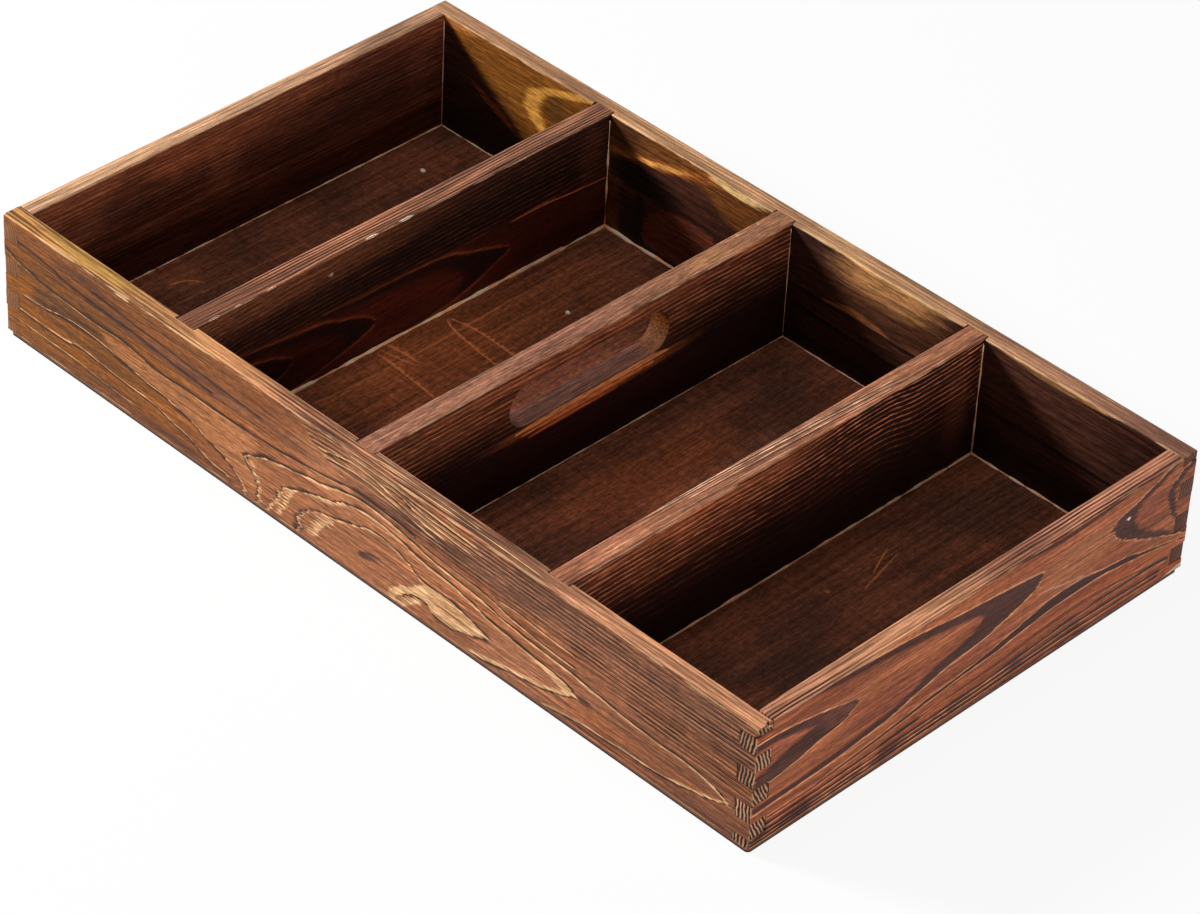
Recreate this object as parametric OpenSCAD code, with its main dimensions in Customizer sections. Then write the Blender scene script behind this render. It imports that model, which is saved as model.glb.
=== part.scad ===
// Wooden drawer organizer: a finger-jointed frame with three dividers let into it,
// on a thin plywood bottom. All sizes in millimetres, +Z up, +X along the tray,
// origin at the middle of the underside.

/* [Tray] */
// Outside length of the frame
tray_length = 450; // [340:1:600]
// Outside width of the frame
tray_width = 260; // [180:1:400]
// Height of the frame boards and of the dividers
board_height = 61; // [48:0.5:100]
// Thickness of the two long boards
long_board_thickness = 9; // [7:0.5:15]
// Thickness of the two short end boards
end_board_thickness = 9; // [7:0.5:15]

/* [Corner joints] */
// Pairs of whole fingers between the two half fingers of a corner
finger_pairs = 3; // [2:1:5]
// Glue gap between mating faces of the fingers
finger_gap = 0.1; // [0.05:0.05:0.4]

/* [Dividers] */
// Thickness of the dividers
divider_thickness = 11; // [7:0.5:16]
// Depth of the grooves that take the ends of the dividers
groove_depth = 2.5; // [1:0.25:4]
// Play between a divider and each wall of its groove
groove_play = 0.4; // [0.1:0.1:1]
// Glue gap between the end of a divider and the bottom of its groove
groove_end_gap = 0.1; // [0.05:0.05:0.4]
// Set-out of the left divider, measured from bays of equal length
left_divider_shift = -2.5; // [-8:0.5:8]
// Set-out of the centre divider, measured from bays of equal length
centre_divider_shift = -1.5; // [-8:0.5:8]
// Set-out of the right divider, measured from bays of equal length
right_divider_shift = -0.5; // [-8:0.5:8]

/* [Hand slot] */
// Length of the hand slot from end to end
slot_length = 94; // [70:1:130]
// Height of the hand slot
slot_height = 22; // [16:0.5:30]
// Distance from the top edge of the divider down to the middle of the slot
slot_drop = 19; // [16:0.5:24]

/* [Bottom panel] */
// Thickness of the bottom panel
panel_thickness = 3; // [2:0.5:6]
// Set-back of the panel from the outside of the frame
panel_setback = 1; // [0:0.25:2]
// Radius of the corners of the panel
panel_corner_radius = 2; // [1:0.5:6]

/* [Brads] */
// Length of a brad, head included
brad_length = 16; // [10:1:20]
// Diameter of the shank of a brad
brad_diameter = 1.4; // [1:0.1:2]
// Diameter of the head of a brad
brad_head_diameter = 2.6; // [2.2:0.1:3.6]
// Thickness of the head of a brad
brad_head_thickness = 0.8; // [0.5:0.1:1.2]
// Depth of the head below the underside of the panel
brad_head_recess = 0.2; // [0.1:0.1:0.6]
// Gap round a brad in its hole
brad_hole_gap = 0.02; // [0.01:0.01:0.1]
// Brads along each long board
brads_per_long_board = 4; // [2:1:8]
// Brads along each end board
brads_per_end_board = 3; // [2:1:6]
// Brads along each divider
brads_per_divider = 2; // [2:1:6]

/* [Hidden] */
$fn = 48;

// How far a cutting shape runs past the face that it cuts
cut_over = 1;

// Inside of the frame
inside_length = tray_length - 2 * end_board_thickness;
inside_width = tray_width - 2 * long_board_thickness;

// Rows of a corner joint, counted from the bottom: a half row, whole rows, a half row
finger_pitch = board_height / (2 * finger_pairs + 1);
last_row = 2 * finger_pairs + 1;
// Even rows are fingers of the end boards, odd rows are fingers of the long boards
end_rows = [for (row = [0 : 2 : last_row]) row];
long_rows = [for (row = [1 : 2 : last_row]) row];

// Places of the dividers along the tray
bay_pitch = (inside_length + divider_thickness) / 4;
left_divider_x = -bay_pitch + left_divider_shift;
centre_divider_x = centre_divider_shift;
right_divider_x = bay_pitch + right_divider_shift;
divider_places = [left_divider_x, centre_divider_x, right_divider_x];
divider_length = inside_width + 2 * (groove_depth - groove_end_gap);

// Middles of the boards' thickness, where the brads go up
long_board_y = (tray_width - long_board_thickness) / 2;
end_board_x = (tray_length - end_board_thickness) / 2;

// Places of the brads
long_brad_stations = spread(brads_per_long_board, inside_length);
end_brad_stations = spread(brads_per_end_board, inside_width);
divider_brad_stations = spread(brads_per_divider, inside_width);
front_brads = [for (x = long_brad_stations) [x, -long_board_y]];
back_brads = [for (x = long_brad_stations) [x, long_board_y]];
left_brads = [for (y = end_brad_stations) [-end_board_x, y]];
right_brads = [for (y = end_brad_stations) [end_board_x, y]];
all_brads = concat(
    front_brads, back_brads, left_brads, right_brads,
    [for (x = divider_places) for (y = divider_brad_stations) [x, y]]
);

// Colours of the woods and the metal
long_board_colour = "#8b5a34";
end_board_colour = "#85502c";
divider_colour = "#5b3222";
panel_colour = "#442519";
brad_colour = "#9a9a96";

// Middles of equal shares of a span that is centred on zero
function spread(count, span) = [for (i = [0 : count - 1]) ((i + 0.5) / count - 0.5) * span];

// Bottom and top of a row of a corner joint, above the bottom of the boards
function row_low(row) = row == 0 ? 0 : (row - 0.5) * finger_pitch;
function row_high(row) = row == last_row ? board_height : (row + 0.5) * finger_pitch;

// Notch at one end of a board for one finger of its neighbour
module finger_notch(side, length, thickness, depth, row) {
    low = row_low(row) - finger_gap / 2;
    high = row_high(row) + finger_gap / 2;
    start = side > 0 ? length / 2 - depth : -length / 2 - cut_over;
    translate([start, -cut_over, low])
        cube([depth + cut_over, thickness + 2 * cut_over, high - low]);
}

// Frame board along X with its outer face on y = 0 and its notches at both ends
module frame_board(length, thickness, neighbour_thickness, neighbour_rows) {
    difference() {
        translate([-length / 2, 0, 0])
            cube([length, thickness, board_height]);
        for (side = [-1, 1])
            for (row = neighbour_rows)
                finger_notch(side, length, thickness, neighbour_thickness + finger_gap, row);
    }
}

// One brad standing in the panel, or with a gap the hole that it leaves
module brad_shape(gap = 0) {
    head_low = gap > 0 ? -cut_over : brad_head_recess;
    head_high = brad_head_recess + brad_head_thickness + gap;
    translate([0, 0, head_low])
        cylinder(d = brad_head_diameter + 2 * gap, h = head_high - head_low);
    translate([0, 0, head_low])
        cylinder(d = brad_diameter + 2 * gap, h = brad_head_recess + brad_length + gap - head_low);
}

module brad_holes(places) {
    for (place = places)
        translate([place[0], place[1], 0])
            brad_shape(gap = brad_hole_gap);
}

// Long board with the grooves for the dividers, lying along the front
module long_board() {
    translate([0, -tray_width / 2, panel_thickness])
        difference() {
            frame_board(tray_length, long_board_thickness, end_board_thickness, end_rows);
            for (x = divider_places)
                translate([x, long_board_thickness - groove_depth, 0])
                    groove();
        }
}

// Groove for the end of a divider, open at the inner face and at both edges
module groove() {
    width = divider_thickness + 2 * groove_play;
    translate([-width / 2, 0, -cut_over])
        cube([width, groove_depth + cut_over, board_height + 2 * cut_over]);
}

// End board, lying along the right end
module end_board() {
    translate([tray_length / 2, 0, panel_thickness])
        rotate(90)
            frame_board(tray_width, end_board_thickness, long_board_thickness, long_rows);
}

// Plain divider at a place along the tray, with its brad holes
module divider(x) {
    difference() {
        translate([x - divider_thickness / 2, -divider_length / 2, panel_thickness])
            cube([divider_thickness, divider_length, board_height]);
        brad_holes([for (y = divider_brad_stations) [x, y]]);
    }
}

// Obround hand slot that runs right through a divider
module hand_slot() {
    radius = slot_height / 2;
    reach = slot_length / 2 - radius;
    depth = divider_thickness + 2 * cut_over;
    translate([-depth / 2, -reach, -radius])
        cube([depth, 2 * reach, slot_height]);
    for (side = [-1, 1])
        translate([-depth / 2, side * reach, 0])
            rotate([0, 90, 0])
                cylinder(r = radius, h = depth);
}

// Outline of the bottom panel, a rectangle with round corners
module panel_outline() {
    half_length = tray_length / 2 - panel_setback;
    half_width = tray_width / 2 - panel_setback;
    corner_x = half_length - panel_corner_radius;
    corner_y = half_width - panel_corner_radius;
    square([2 * corner_x, 2 * half_width], center = true);
    square([2 * half_length, 2 * corner_y], center = true);
    for (x = [-corner_x, corner_x])
        for (y = [-corner_y, corner_y])
            translate([x, y])
                circle(r = panel_corner_radius);
}

module front_board() {
    color(long_board_colour)
        difference() {
            long_board();
            brad_holes(front_brads);
        }
}

module back_board() {
    color(long_board_colour)
        difference() {
            mirror([0, 1, 0])
                long_board();
            brad_holes(back_brads);
        }
}

module left_end() {
    color(end_board_colour)
        difference() {
            mirror([1, 0, 0])
                end_board();
            brad_holes(left_brads);
        }
}

module right_end() {
    color(end_board_colour)
        difference() {
            end_board();
            brad_holes(right_brads);
        }
}

module left_divider() {
    color(divider_colour)
        divider(left_divider_x);
}

module centre_divider() {
    color(divider_colour)
        difference() {
            divider(centre_divider_x);
            translate([centre_divider_x, 0, panel_thickness + board_height - slot_drop])
                hand_slot();
        }
}

module right_divider() {
    color(divider_colour)
        divider(right_divider_x);
}

module bottom_panel() {
    color(panel_colour)
        difference() {
            linear_extrude(panel_thickness)
                panel_outline();
            brad_holes(all_brads);
        }
}

module panel_brads() {
    color(brad_colour)
        for (place = all_brads)
            translate([place[0], place[1], 0])
                brad_shape();
}

front_board();
back_board();
left_end();
right_end();
left_divider();
centre_divider();
right_divider();
bottom_panel();
panel_brads();
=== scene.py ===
# %% [markdown]
# # A burnt-wood drawer organizer
# The tray is a frame of four finger-jointed boards, three dividers let into grooves, and a thin plywood
# bottom. The construction is already there as a fixed frame in metres. This lesson dresses it: each
# board is modelled again with soft arrises and small chips, dried glue is added in the bays, and every
# board gets a wood whose lines follow the real figure.

# %% Load the frame
import math
from collections import namedtuple

import bpy
from mathutils import Matrix, Vector


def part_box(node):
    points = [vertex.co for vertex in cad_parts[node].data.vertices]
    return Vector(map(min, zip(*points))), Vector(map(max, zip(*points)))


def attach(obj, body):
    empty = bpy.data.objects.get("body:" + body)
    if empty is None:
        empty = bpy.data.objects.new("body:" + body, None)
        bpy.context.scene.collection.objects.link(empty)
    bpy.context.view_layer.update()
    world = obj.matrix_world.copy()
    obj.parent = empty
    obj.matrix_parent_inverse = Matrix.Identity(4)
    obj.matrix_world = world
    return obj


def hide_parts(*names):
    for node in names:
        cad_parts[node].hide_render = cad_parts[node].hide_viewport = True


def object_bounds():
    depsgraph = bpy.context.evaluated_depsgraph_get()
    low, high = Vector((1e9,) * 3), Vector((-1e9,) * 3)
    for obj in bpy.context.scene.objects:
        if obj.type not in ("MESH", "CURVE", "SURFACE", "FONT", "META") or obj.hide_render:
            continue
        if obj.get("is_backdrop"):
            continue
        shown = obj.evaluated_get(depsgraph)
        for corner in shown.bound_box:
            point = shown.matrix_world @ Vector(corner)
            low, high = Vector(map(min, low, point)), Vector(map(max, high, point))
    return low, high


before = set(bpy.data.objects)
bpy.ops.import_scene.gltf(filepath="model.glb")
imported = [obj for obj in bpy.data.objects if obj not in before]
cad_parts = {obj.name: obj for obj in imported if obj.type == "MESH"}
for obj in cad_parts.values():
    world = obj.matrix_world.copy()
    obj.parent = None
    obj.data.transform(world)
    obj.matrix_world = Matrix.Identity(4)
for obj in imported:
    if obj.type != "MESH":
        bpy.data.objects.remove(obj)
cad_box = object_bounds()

MM = 0.001


def in_mm(lengths, digits=1):
    return [round(length / MM, digits) for length in lengths]


print("frame:", sorted(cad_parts), "box in mm:", [in_mm(corner) for corner in cad_box])

# %% [markdown]
# ## Camera
# The picture was taken with a long lens from above one corner, turned a few degrees. A camera that
# looks at the middle of the tray from an azimuth and an elevation, with a roll and a small offset,
# repeats it. The image counts as 1200 by 914 pixels, so the focal length can be kept in pixels.

# %% Camera
IMAGE_WIDTH_PX = 1200
FOCAL_PX = 4675.5
SENSOR_WIDTH_MM = 36.0
CAMERA_AZIMUTH = math.radians(43.49)
CAMERA_ELEVATION = math.radians(37.98)
CAMERA_ROLL = math.radians(3.09)
CAMERA_DISTANCE = 1996.6 * MM
CAMERA_OFFSET = Vector((8.56, -3.34)) * MM


def view_axes(azimuth, elevation, roll):
    """Right, up and back directions of a camera that looks at the origin."""
    back = Vector((math.sin(azimuth) * math.cos(elevation), -math.cos(azimuth) * math.cos(elevation),
                   math.sin(elevation)))
    level = Vector((math.cos(azimuth), math.sin(azimuth), 0))
    rise = back.cross(level)
    right = math.cos(roll) * level + math.sin(roll) * rise
    up = math.cos(roll) * rise - math.sin(roll) * level
    return right, up, back


def add_camera():
    right, up, back = view_axes(CAMERA_AZIMUTH, CAMERA_ELEVATION, CAMERA_ROLL)
    camera = bpy.data.objects.new("camera", bpy.data.cameras.new("camera"))
    bpy.context.scene.collection.objects.link(camera)
    camera.data.sensor_width = SENSOR_WIDTH_MM
    camera.data.lens = FOCAL_PX * SENSOR_WIDTH_MM / IMAGE_WIDTH_PX
    place = back * CAMERA_DISTANCE + right * CAMERA_OFFSET.x + up * CAMERA_OFFSET.y
    turn = Matrix((right, up, back)).transposed().to_4x4()
    camera.matrix_world = Matrix.Translation(place) @ turn
    bpy.context.scene.camera = camera
    return camera


camera = add_camera()
print("camera: lens", round(camera.data.lens, 1), "mm at", [round(c, 3) for c in camera.location])

# %% [markdown]
# ## Sizes of the boards
# Every size comes from the frame's boxes, so the dressed boards lie exactly on the solids. The rows of
# the corner joints are counted from the bottom: a half row, six whole rows and a half row. Even rows
# are fingers of the short ends, odd rows are fingers of the long boards.

# %% Sizes
FINGER_PITCHES = 7
FINGER_GAP = 0.1 * MM
GROOVE_DEPTH = 2.5 * MM
GROOVE_PLAY = 0.4 * MM
SLOT_LENGTH = 94 * MM
SLOT_HEIGHT = 22 * MM
SLOT_DROP = 19 * MM
CUT_OVER = 1 * MM

front_low, front_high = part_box("front_board")
right_low, right_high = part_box("right_end")
board_bottom = front_low.z
board_top = front_high.z
board_height = board_top - board_bottom
long_thickness = front_high.y - front_low.y
end_thickness = right_high.x - right_low.x
finger_pitch = board_height / FINGER_PITCHES


def row_span(row):
    """Bottom and top of a joint row, in the frame."""
    low = board_bottom if row == 0 else board_bottom + (row - 0.5) * finger_pitch
    high = board_top if row == FINGER_PITCHES else board_bottom + (row + 0.5) * finger_pitch
    return low, high


print("boards", round(board_height / MM, 1), "mm high, fingers", round(finger_pitch / MM, 2), "mm")

# %% [markdown]
# ## Cutting and easing tools
# A joiner saws a board, cuts its notches and grooves, and takes the sharp arrises off with a few
# strokes. The same order works here: a block, its long top edges rounded in edit mode, a Boolean with
# plain cutters for the notches, and a fine Bevel for the edges that the cuts leave.

# %% Tools
TOP_EASE = 0.9 * MM
CUT_EASE = 0.35 * MM
CUT_ANGLE = math.radians(50)
SMOOTH_ANGLE = math.radians(35)
# How near a point has to be to count as on a face, and how closely an edge has to run along a way
NEAR = 0.1 * MM
ALIGNED = 0.9


def deselect_all():
    bpy.ops.object.select_all(action="DESELECT")


def activate(piece):
    deselect_all()
    piece.select_set(True)
    bpy.context.view_layer.objects.active = piece


def rename(piece, name):
    piece.name = name
    piece.data.name = name


def place_in_mesh():
    bpy.ops.object.transform_apply(location=True, rotation=True, scale=True)


def join(pieces):
    """Makes several pieces one."""
    activate(pieces[0])
    for piece in pieces:
        piece.select_set(True)
    if len(pieces) > 1:
        bpy.ops.object.join()
    return pieces[0]


def add_block(name, low, high):
    """Block between two corners, with its place in its mesh."""
    deselect_all()
    low, high = Vector(low), Vector(high)
    bpy.ops.mesh.primitive_cube_add(size=1, location=(low + high) / 2)
    block = bpy.context.object
    rename(block, name)
    block.scale = high - low
    place_in_mesh()
    return block


def select_edges(piece, wanted):
    """Selects the edges whose two ends pass a test, and goes to edit mode."""
    activate(piece)
    bpy.ops.object.mode_set(mode="EDIT")
    bpy.ops.mesh.select_mode(type="EDGE")
    bpy.ops.mesh.select_all(action="DESELECT")
    bpy.ops.object.mode_set(mode="OBJECT")
    points = piece.data.vertices
    for edge in piece.data.edges:
        a, b = (points[i].co for i in edge.vertices)
        edge.select = wanted(a, b)
    bpy.ops.object.mode_set(mode="EDIT")


def round_edges(piece, wanted, radius, profile=0.5):
    """Rounds the edges whose two ends pass a test."""
    select_edges(piece, wanted)
    bpy.ops.mesh.bevel(offset=radius, segments=3, profile=profile)
    bpy.ops.object.mode_set(mode="OBJECT")


def round_top(piece, along):
    """Rounds the two long top edges of a block that runs along X (0) or Y (1)."""
    top = max(point.co.z for point in piece.data.vertices) - NEAR

    def on_long_top(a, b):
        return min(a.z, b.z) > top and abs((a - b).normalized()[along]) > ALIGNED
    round_edges(piece, on_long_top, TOP_EASE)


def apply_modifier(piece, kind, **settings):
    activate(piece)
    modifier = piece.modifiers.new(kind.lower(), kind)
    for key, value in settings.items():
        setattr(modifier, key, value)
    bpy.ops.object.modifier_apply(modifier=modifier.name)


def cut_away(piece, cutters):
    """Takes the cutters out of a piece and removes them."""
    tool = join(cutters)
    apply_modifier(piece, "BOOLEAN", operation="DIFFERENCE", solver="EXACT", object=tool)
    bpy.data.objects.remove(tool)


def ease_cuts(piece):
    """Breaks the sharp edges that are left, and shades flat faces flat."""
    apply_modifier(piece, "BEVEL", width=CUT_EASE, segments=2, limit_method="ANGLE", angle_limit=CUT_ANGLE)
    bpy.ops.object.shade_smooth_by_angle(angle=SMOOTH_ANGLE)


def seat(piece, node):
    """The piece stands for a solid of the frame and moves with it."""
    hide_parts(node)
    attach(piece, "root")
    print(piece.name, "size in mm", in_mm(piece.dimensions), "faces", len(piece.data.polygons))


print("tools ready, top arrises", in_mm([TOP_EASE]), "mm")

# %% [markdown]
# ## Chips
# Knocks have taken small chips out of the front board's top, most of them at its right corner, and out
# of one arris of the left divider. A chip is cut with a small ball that is stretched along the board.

# %% Chips
# For each chip: mm along the board, in from its outer face and below its top, then its half sizes
CHIPS = {
    "front_board": [((449.8, 6.6, 0), (1.3, 1.9, 2.4)), ((450, 1.2, 4), (2.6, 1.9, 1.3)),
                    ((439, 9, 0), (3, 0.8, 0.7)), ((0, 0.6, 0), (1, 1.2, 0.9))],
    "left_divider": [((12, 0, 0), (4.2, 0.7, 0.6)), ((25, 0, 0), (3, 0.5, 0.5)),
                     ((44, 0, 0), (3.4, 0.6, 0.5)), ((70, 0, 0), (2.2, 0.4, 0.4)),
                     ((101, 0, 0), (4.4, 0.7, 0.6)), ((121, 0, 0), (4, 0.8, 0.6))]}


def nick(node, along, inward, at, size):
    """Lump that takes one chip out of a board."""
    low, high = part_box(node)
    across = 1 - along
    u, w, drop = at
    place = Vector((0, 0, high.z - drop * MM))
    place[along] = low[along] + u * MM
    place[across] = low[across] + w * MM if inward > 0 else high[across] - w * MM
    deselect_all()
    bpy.ops.mesh.primitive_ico_sphere_add(subdivisions=2, radius=MM, location=place)
    lump = bpy.context.object
    lump.scale[along], lump.scale[across], lump.scale.z = size
    place_in_mesh()
    return lump


def chip_top(piece, node, along, inward):
    """Knocks the chips of a board out of its top."""
    if node in CHIPS:
        cut_away(piece, [nick(node, along, inward, at, size) for at, size in CHIPS[node]])
        bpy.ops.object.shade_smooth_by_angle(angle=SMOOTH_ANGLE)


print("chips:", {node: len(chips) for node, chips in CHIPS.items()})

# %% [markdown]
# ## The four frame boards
# Each long board has notches for the even rows at both ends and three grooves for the dividers. Each
# end board has notches for the odd rows. Real fingers meet with a hair of glue between them, so a
# notch is a little taller than its finger. Sanding leaves the fingers a little uneven, so some of them
# lose a few tenths of a millimetre at the tip.

# %% Frame boards
DIVIDERS = ("left_divider", "centre_divider", "right_divider")
# What each row's fingers lose at the tip, in millimetres, from the lowest row up
TIP_LOSS = (0.3, 0.35, 0, 0.15, 0.4, 0, 0.2, 0.3)


def end_cutter(low, high, along, end, span, depth):
    """Block that takes a depth off one end of a board, between two heights."""
    over = Vector((CUT_OVER,) * 3)
    a, b = Vector(low) - over, Vector(high) + over
    a.z, b.z = span
    if end == 0:
        b[along] = low[along] + depth
    else:
        a[along] = high[along] - depth
    return add_block("cutter", a, b)


def notch_cutters(low, high, along, rows, depth):
    """Blocks at both ends of a board that cut away the rows of its neighbours."""
    cutters = []
    for row in rows:
        bottom, top = row_span(row)
        span = (bottom - FINGER_GAP / 2, top + FINGER_GAP / 2)
        cutters += [end_cutter(low, high, along, end, span, depth + FINGER_GAP) for end in (0, 1)]
    return cutters


def trim_cutters(low, high, along, rows):
    """Blocks that take the tips off some fingers."""
    return [end_cutter(low, high, along, end, row_span(row), TIP_LOSS[row] * MM)
            for row in rows if TIP_LOSS[row] for end in (0, 1)]


def groove_cutters(low, high, inward):
    """Blocks that cut the dividers' grooves into a long board. inward is +1 or -1 along Y."""
    face = high.y if inward > 0 else low.y
    near, far = sorted((face - inward * GROOVE_DEPTH, face + inward * CUT_OVER))
    cutters = []
    for node in DIVIDERS:
        divider_low, divider_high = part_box(node)
        a = (divider_low.x - GROOVE_PLAY, near, low.z - CUT_OVER)
        b = (divider_high.x + GROOVE_PLAY, far, high.z + CUT_OVER)
        cutters.append(add_block("cutter", a, b))
    return cutters


def make_frame_board(node, along, own_rows, other_rows, depth, inward=0):
    low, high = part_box(node)
    board = add_block("dressed_" + node, low, high)
    round_top(board, along)
    cutters = notch_cutters(low, high, along, other_rows, depth)
    if inward:
        cutters += groove_cutters(low, high, inward)
    cut_away(board, cutters)
    cut_away(board, trim_cutters(low, high, along, own_rows))
    ease_cuts(board)
    chip_top(board, node, along, inward)
    seat(board, node)
    return board


end_rows = range(0, FINGER_PITCHES + 1, 2)
long_rows = range(1, FINGER_PITCHES + 1, 2)
front_board = make_frame_board("front_board", 0, long_rows, end_rows, end_thickness, 1)
back_board = make_frame_board("back_board", 0, long_rows, end_rows, end_thickness, -1)
left_end = make_frame_board("left_end", 1, end_rows, long_rows, long_thickness)
right_end = make_frame_board("right_end", 1, end_rows, long_rows, long_thickness)

# %% [markdown]
# ## The dividers and the hand slot
# The dividers are plain boards. The middle one has a slot for four fingers: a round bar is added, its
# two halves are pulled apart in edit mode, and the long shape that results cuts the slot.

# %% Dividers
SLOT_EASE = 0.5 * MM
SLOT_FACETS = 64


def slot_cutter(low, high):
    """Obround bar along X through a divider."""
    deselect_all()
    middle = Vector(((low.x + high.x) / 2, (low.y + high.y) / 2, high.z - SLOT_DROP))
    bpy.ops.mesh.primitive_cylinder_add(
        vertices=SLOT_FACETS, radius=SLOT_HEIGHT / 2, depth=high.x - low.x + 2 * CUT_OVER,
        location=middle, rotation=(0, math.pi / 2, 0))
    bar = bpy.context.object
    place_in_mesh()
    reach = (SLOT_LENGTH - SLOT_HEIGHT) / 2
    bpy.ops.object.mode_set(mode="EDIT")
    bpy.ops.mesh.select_mode(type="VERT")
    for side in (-1, 1):
        bpy.ops.mesh.select_all(action="DESELECT")
        bpy.ops.object.mode_set(mode="OBJECT")
        for point in bar.data.vertices:
            point.select = side * (point.co.y - middle.y) > NEAR
        bpy.ops.object.mode_set(mode="EDIT")
        bpy.ops.transform.translate(value=(0, side * reach, 0))
    bpy.ops.object.mode_set(mode="OBJECT")
    return bar


def cut_slot(board, low, high):
    """Cuts the hand slot and rounds its two rims."""
    cut_away(board, [slot_cutter(low, high)])
    middle_z = high.z - SLOT_DROP

    def on_rim(a, b):
        left = max(a.x, b.x) < low.x + NEAR
        right = min(a.x, b.x) > high.x - NEAR
        return (left or right) and all(abs(p.z - middle_z) < SLOT_HEIGHT / 2 + NEAR for p in (a, b))
    round_edges(board, on_rim, SLOT_EASE)


def make_divider(node):
    low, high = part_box(node)
    board = add_block("dressed_" + node, low, high)
    round_top(board, 1)
    if node == "centre_divider":
        cut_slot(board, low, high)
    ease_cuts(board)
    chip_top(board, node, 1, -1)
    seat(board, node)
    return board


left_divider, centre_divider, right_divider = (make_divider(node) for node in DIVIDERS)

# %% [markdown]
# ## Glue in the corners
# Where the dividers and the bottom were glued in, a thin bead of cream glue was squeezed out along the
# foot of the walls and up the corners. A bead is a slim block laid in the corner: its free edge is
# rounded in edit mode, its length is divided, and a Displace with a cloud texture makes it uneven. The
# bays show more or less of it, so each has its own share.

# %% Glue beads
BEAD = 0.75 * MM
BEAD_SHARES = {"glue_first_bay": 0.6, "glue_second_bay": 1.4, "glue_third_bay": 0.45,
               "glue_fourth_bay": 1.0}
BEAD_PART = 4 * MM
BEAD_ROUND = 0.9
LUMP_SIZE = 7 * MM
LUMP_HEIGHT = 2.2
CORNER_SHARE = 0.6
CORNER_STOP = 3 * MM
WALL_GAP = 0.02 * MM

lumps = bpy.data.textures.new("bead_lumps", "CLOUDS")
lumps.noise_scale = LUMP_SIZE
lumps.noise_depth = 2


def glue_bead(start, end, side_a, side_b, size):
    """Bead along a corner line. The two sides point from the corner along the walls that meet there."""
    start, end, sides = Vector(start), Vector(end), Vector(side_a) + Vector(side_b)
    near = start + sides * WALL_GAP
    far = end + sides * WALL_GAP + sides * size
    low = Vector(min(pair) for pair in zip(near, far))
    high = Vector(max(pair) for pair in zip(near, far))
    bead = add_block("bead", low, high)
    run = (end - start).normalized()
    free = near + sides * size

    def on_free_edge(a, b):
        return all((p - free - run * (p - free).dot(run)).length < WALL_GAP for p in (a, b))

    def runs_along(a, b):
        return abs((a - b).normalized().dot(run)) > ALIGNED
    round_edges(bead, on_free_edge, size * BEAD_ROUND, profile=0.4)
    select_edges(bead, runs_along)
    bpy.ops.mesh.subdivide(number_cuts=max(2, int((end - start).length / BEAD_PART)))
    bpy.ops.object.mode_set(mode="OBJECT")
    apply_modifier(bead, "DISPLACE", texture=lumps, texture_coords="LOCAL", strength=size * LUMP_HEIGHT,
                   mid_level=0.58)
    return bead


def join_glue(pieces, name):
    glue = join(pieces)
    rename(glue, name)
    bpy.ops.object.shade_smooth()
    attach(glue, "root")
    print(name, "faces", len(glue.data.polygons))
    return glue


def glue_in_bay(name, x0, x1, y0, y1, size):
    """Beads round the floor of one bay and up its four corners, joined to one piece."""
    ways = [((x0, y0), (x0, y1), (1, 0)), ((x1, y0), (x1, y1), (-1, 0)),
            ((x0, y0), (x1, y0), (0, 1)), ((x0, y1), (x1, y1), (0, -1))]
    beads = [glue_bead((*a, floor_z), (*b, floor_z), (*side, 0), (0, 0, 1), size) for a, b, side in ways]
    for x, side_x in ((x0, 1), (x1, -1)):
        for y, side_y in ((y0, 1), (y1, -1)):
            beads.append(glue_bead((x, y, floor_z), (x, y, board_top - CORNER_STOP),
                                   (side_x, 0, 0), (0, side_y, 0), size * CORNER_SHARE))
    return join_glue(beads, name)


floor_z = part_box("bottom_panel")[1].z
walls = [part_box("left_end")[1].x]
for node in DIVIDERS:
    walls += [corner.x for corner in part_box(node)]
walls.append(right_low.x)
back_inner_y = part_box("back_board")[0].y
glue_pieces = [
    glue_in_bay(name, walls[2 * i], walls[2 * i + 1], front_high.y, back_inner_y, BEAD * share)
    for i, (name, share) in enumerate(BEAD_SHARES.items())]

# %% [markdown]
# ## Specks of dried glue
# Two pale drops have dried on the floors of the left bays. Each is a small ball, pressed flat.

# %% Specks
SPECKS = (((-194, 88.7), 1.5), ((-70.9, 61.8), 1.3))
SPECK_SQUASH = (1.0, 0.8, 0.6)
SPECK_LIFT = 0.1 * MM


def glue_speck(place, radius):
    deselect_all()
    bpy.ops.mesh.primitive_uv_sphere_add(segments=16, ring_count=8, radius=radius * MM)
    speck = bpy.context.object
    bpy.ops.transform.resize(value=SPECK_SQUASH)
    bpy.ops.transform.translate(value=(place[0] * MM, place[1] * MM, floor_z + SPECK_LIFT))
    place_in_mesh()
    return speck


specks = join_glue([glue_speck(place, radius) for place, radius in SPECKS], "glue_specks")

# %% [markdown]
# ## A small language for materials
# A wood like this needs many small sums on the board's own coordinates. Written out node by node they
# hide the idea. So a field stands for a node's output, and a sum with a field adds the node for it.

# %% Node sums


def linear(red, green, blue):
    """A colour as it is seen on a screen, 0 to 255, as the linear colour that a shader takes."""
    def channel(c):
        c = c / 255
        return c / 12.92 if c <= 0.04045 else ((c + 0.055) / 1.055) ** 2.4
    return channel(red), channel(green), channel(blue), 1.0


def node_for(operation):
    """A method that adds a Math node for a field and the values it meets."""
    return lambda field, *values: field.sums.math(operation, field, *values)


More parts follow.
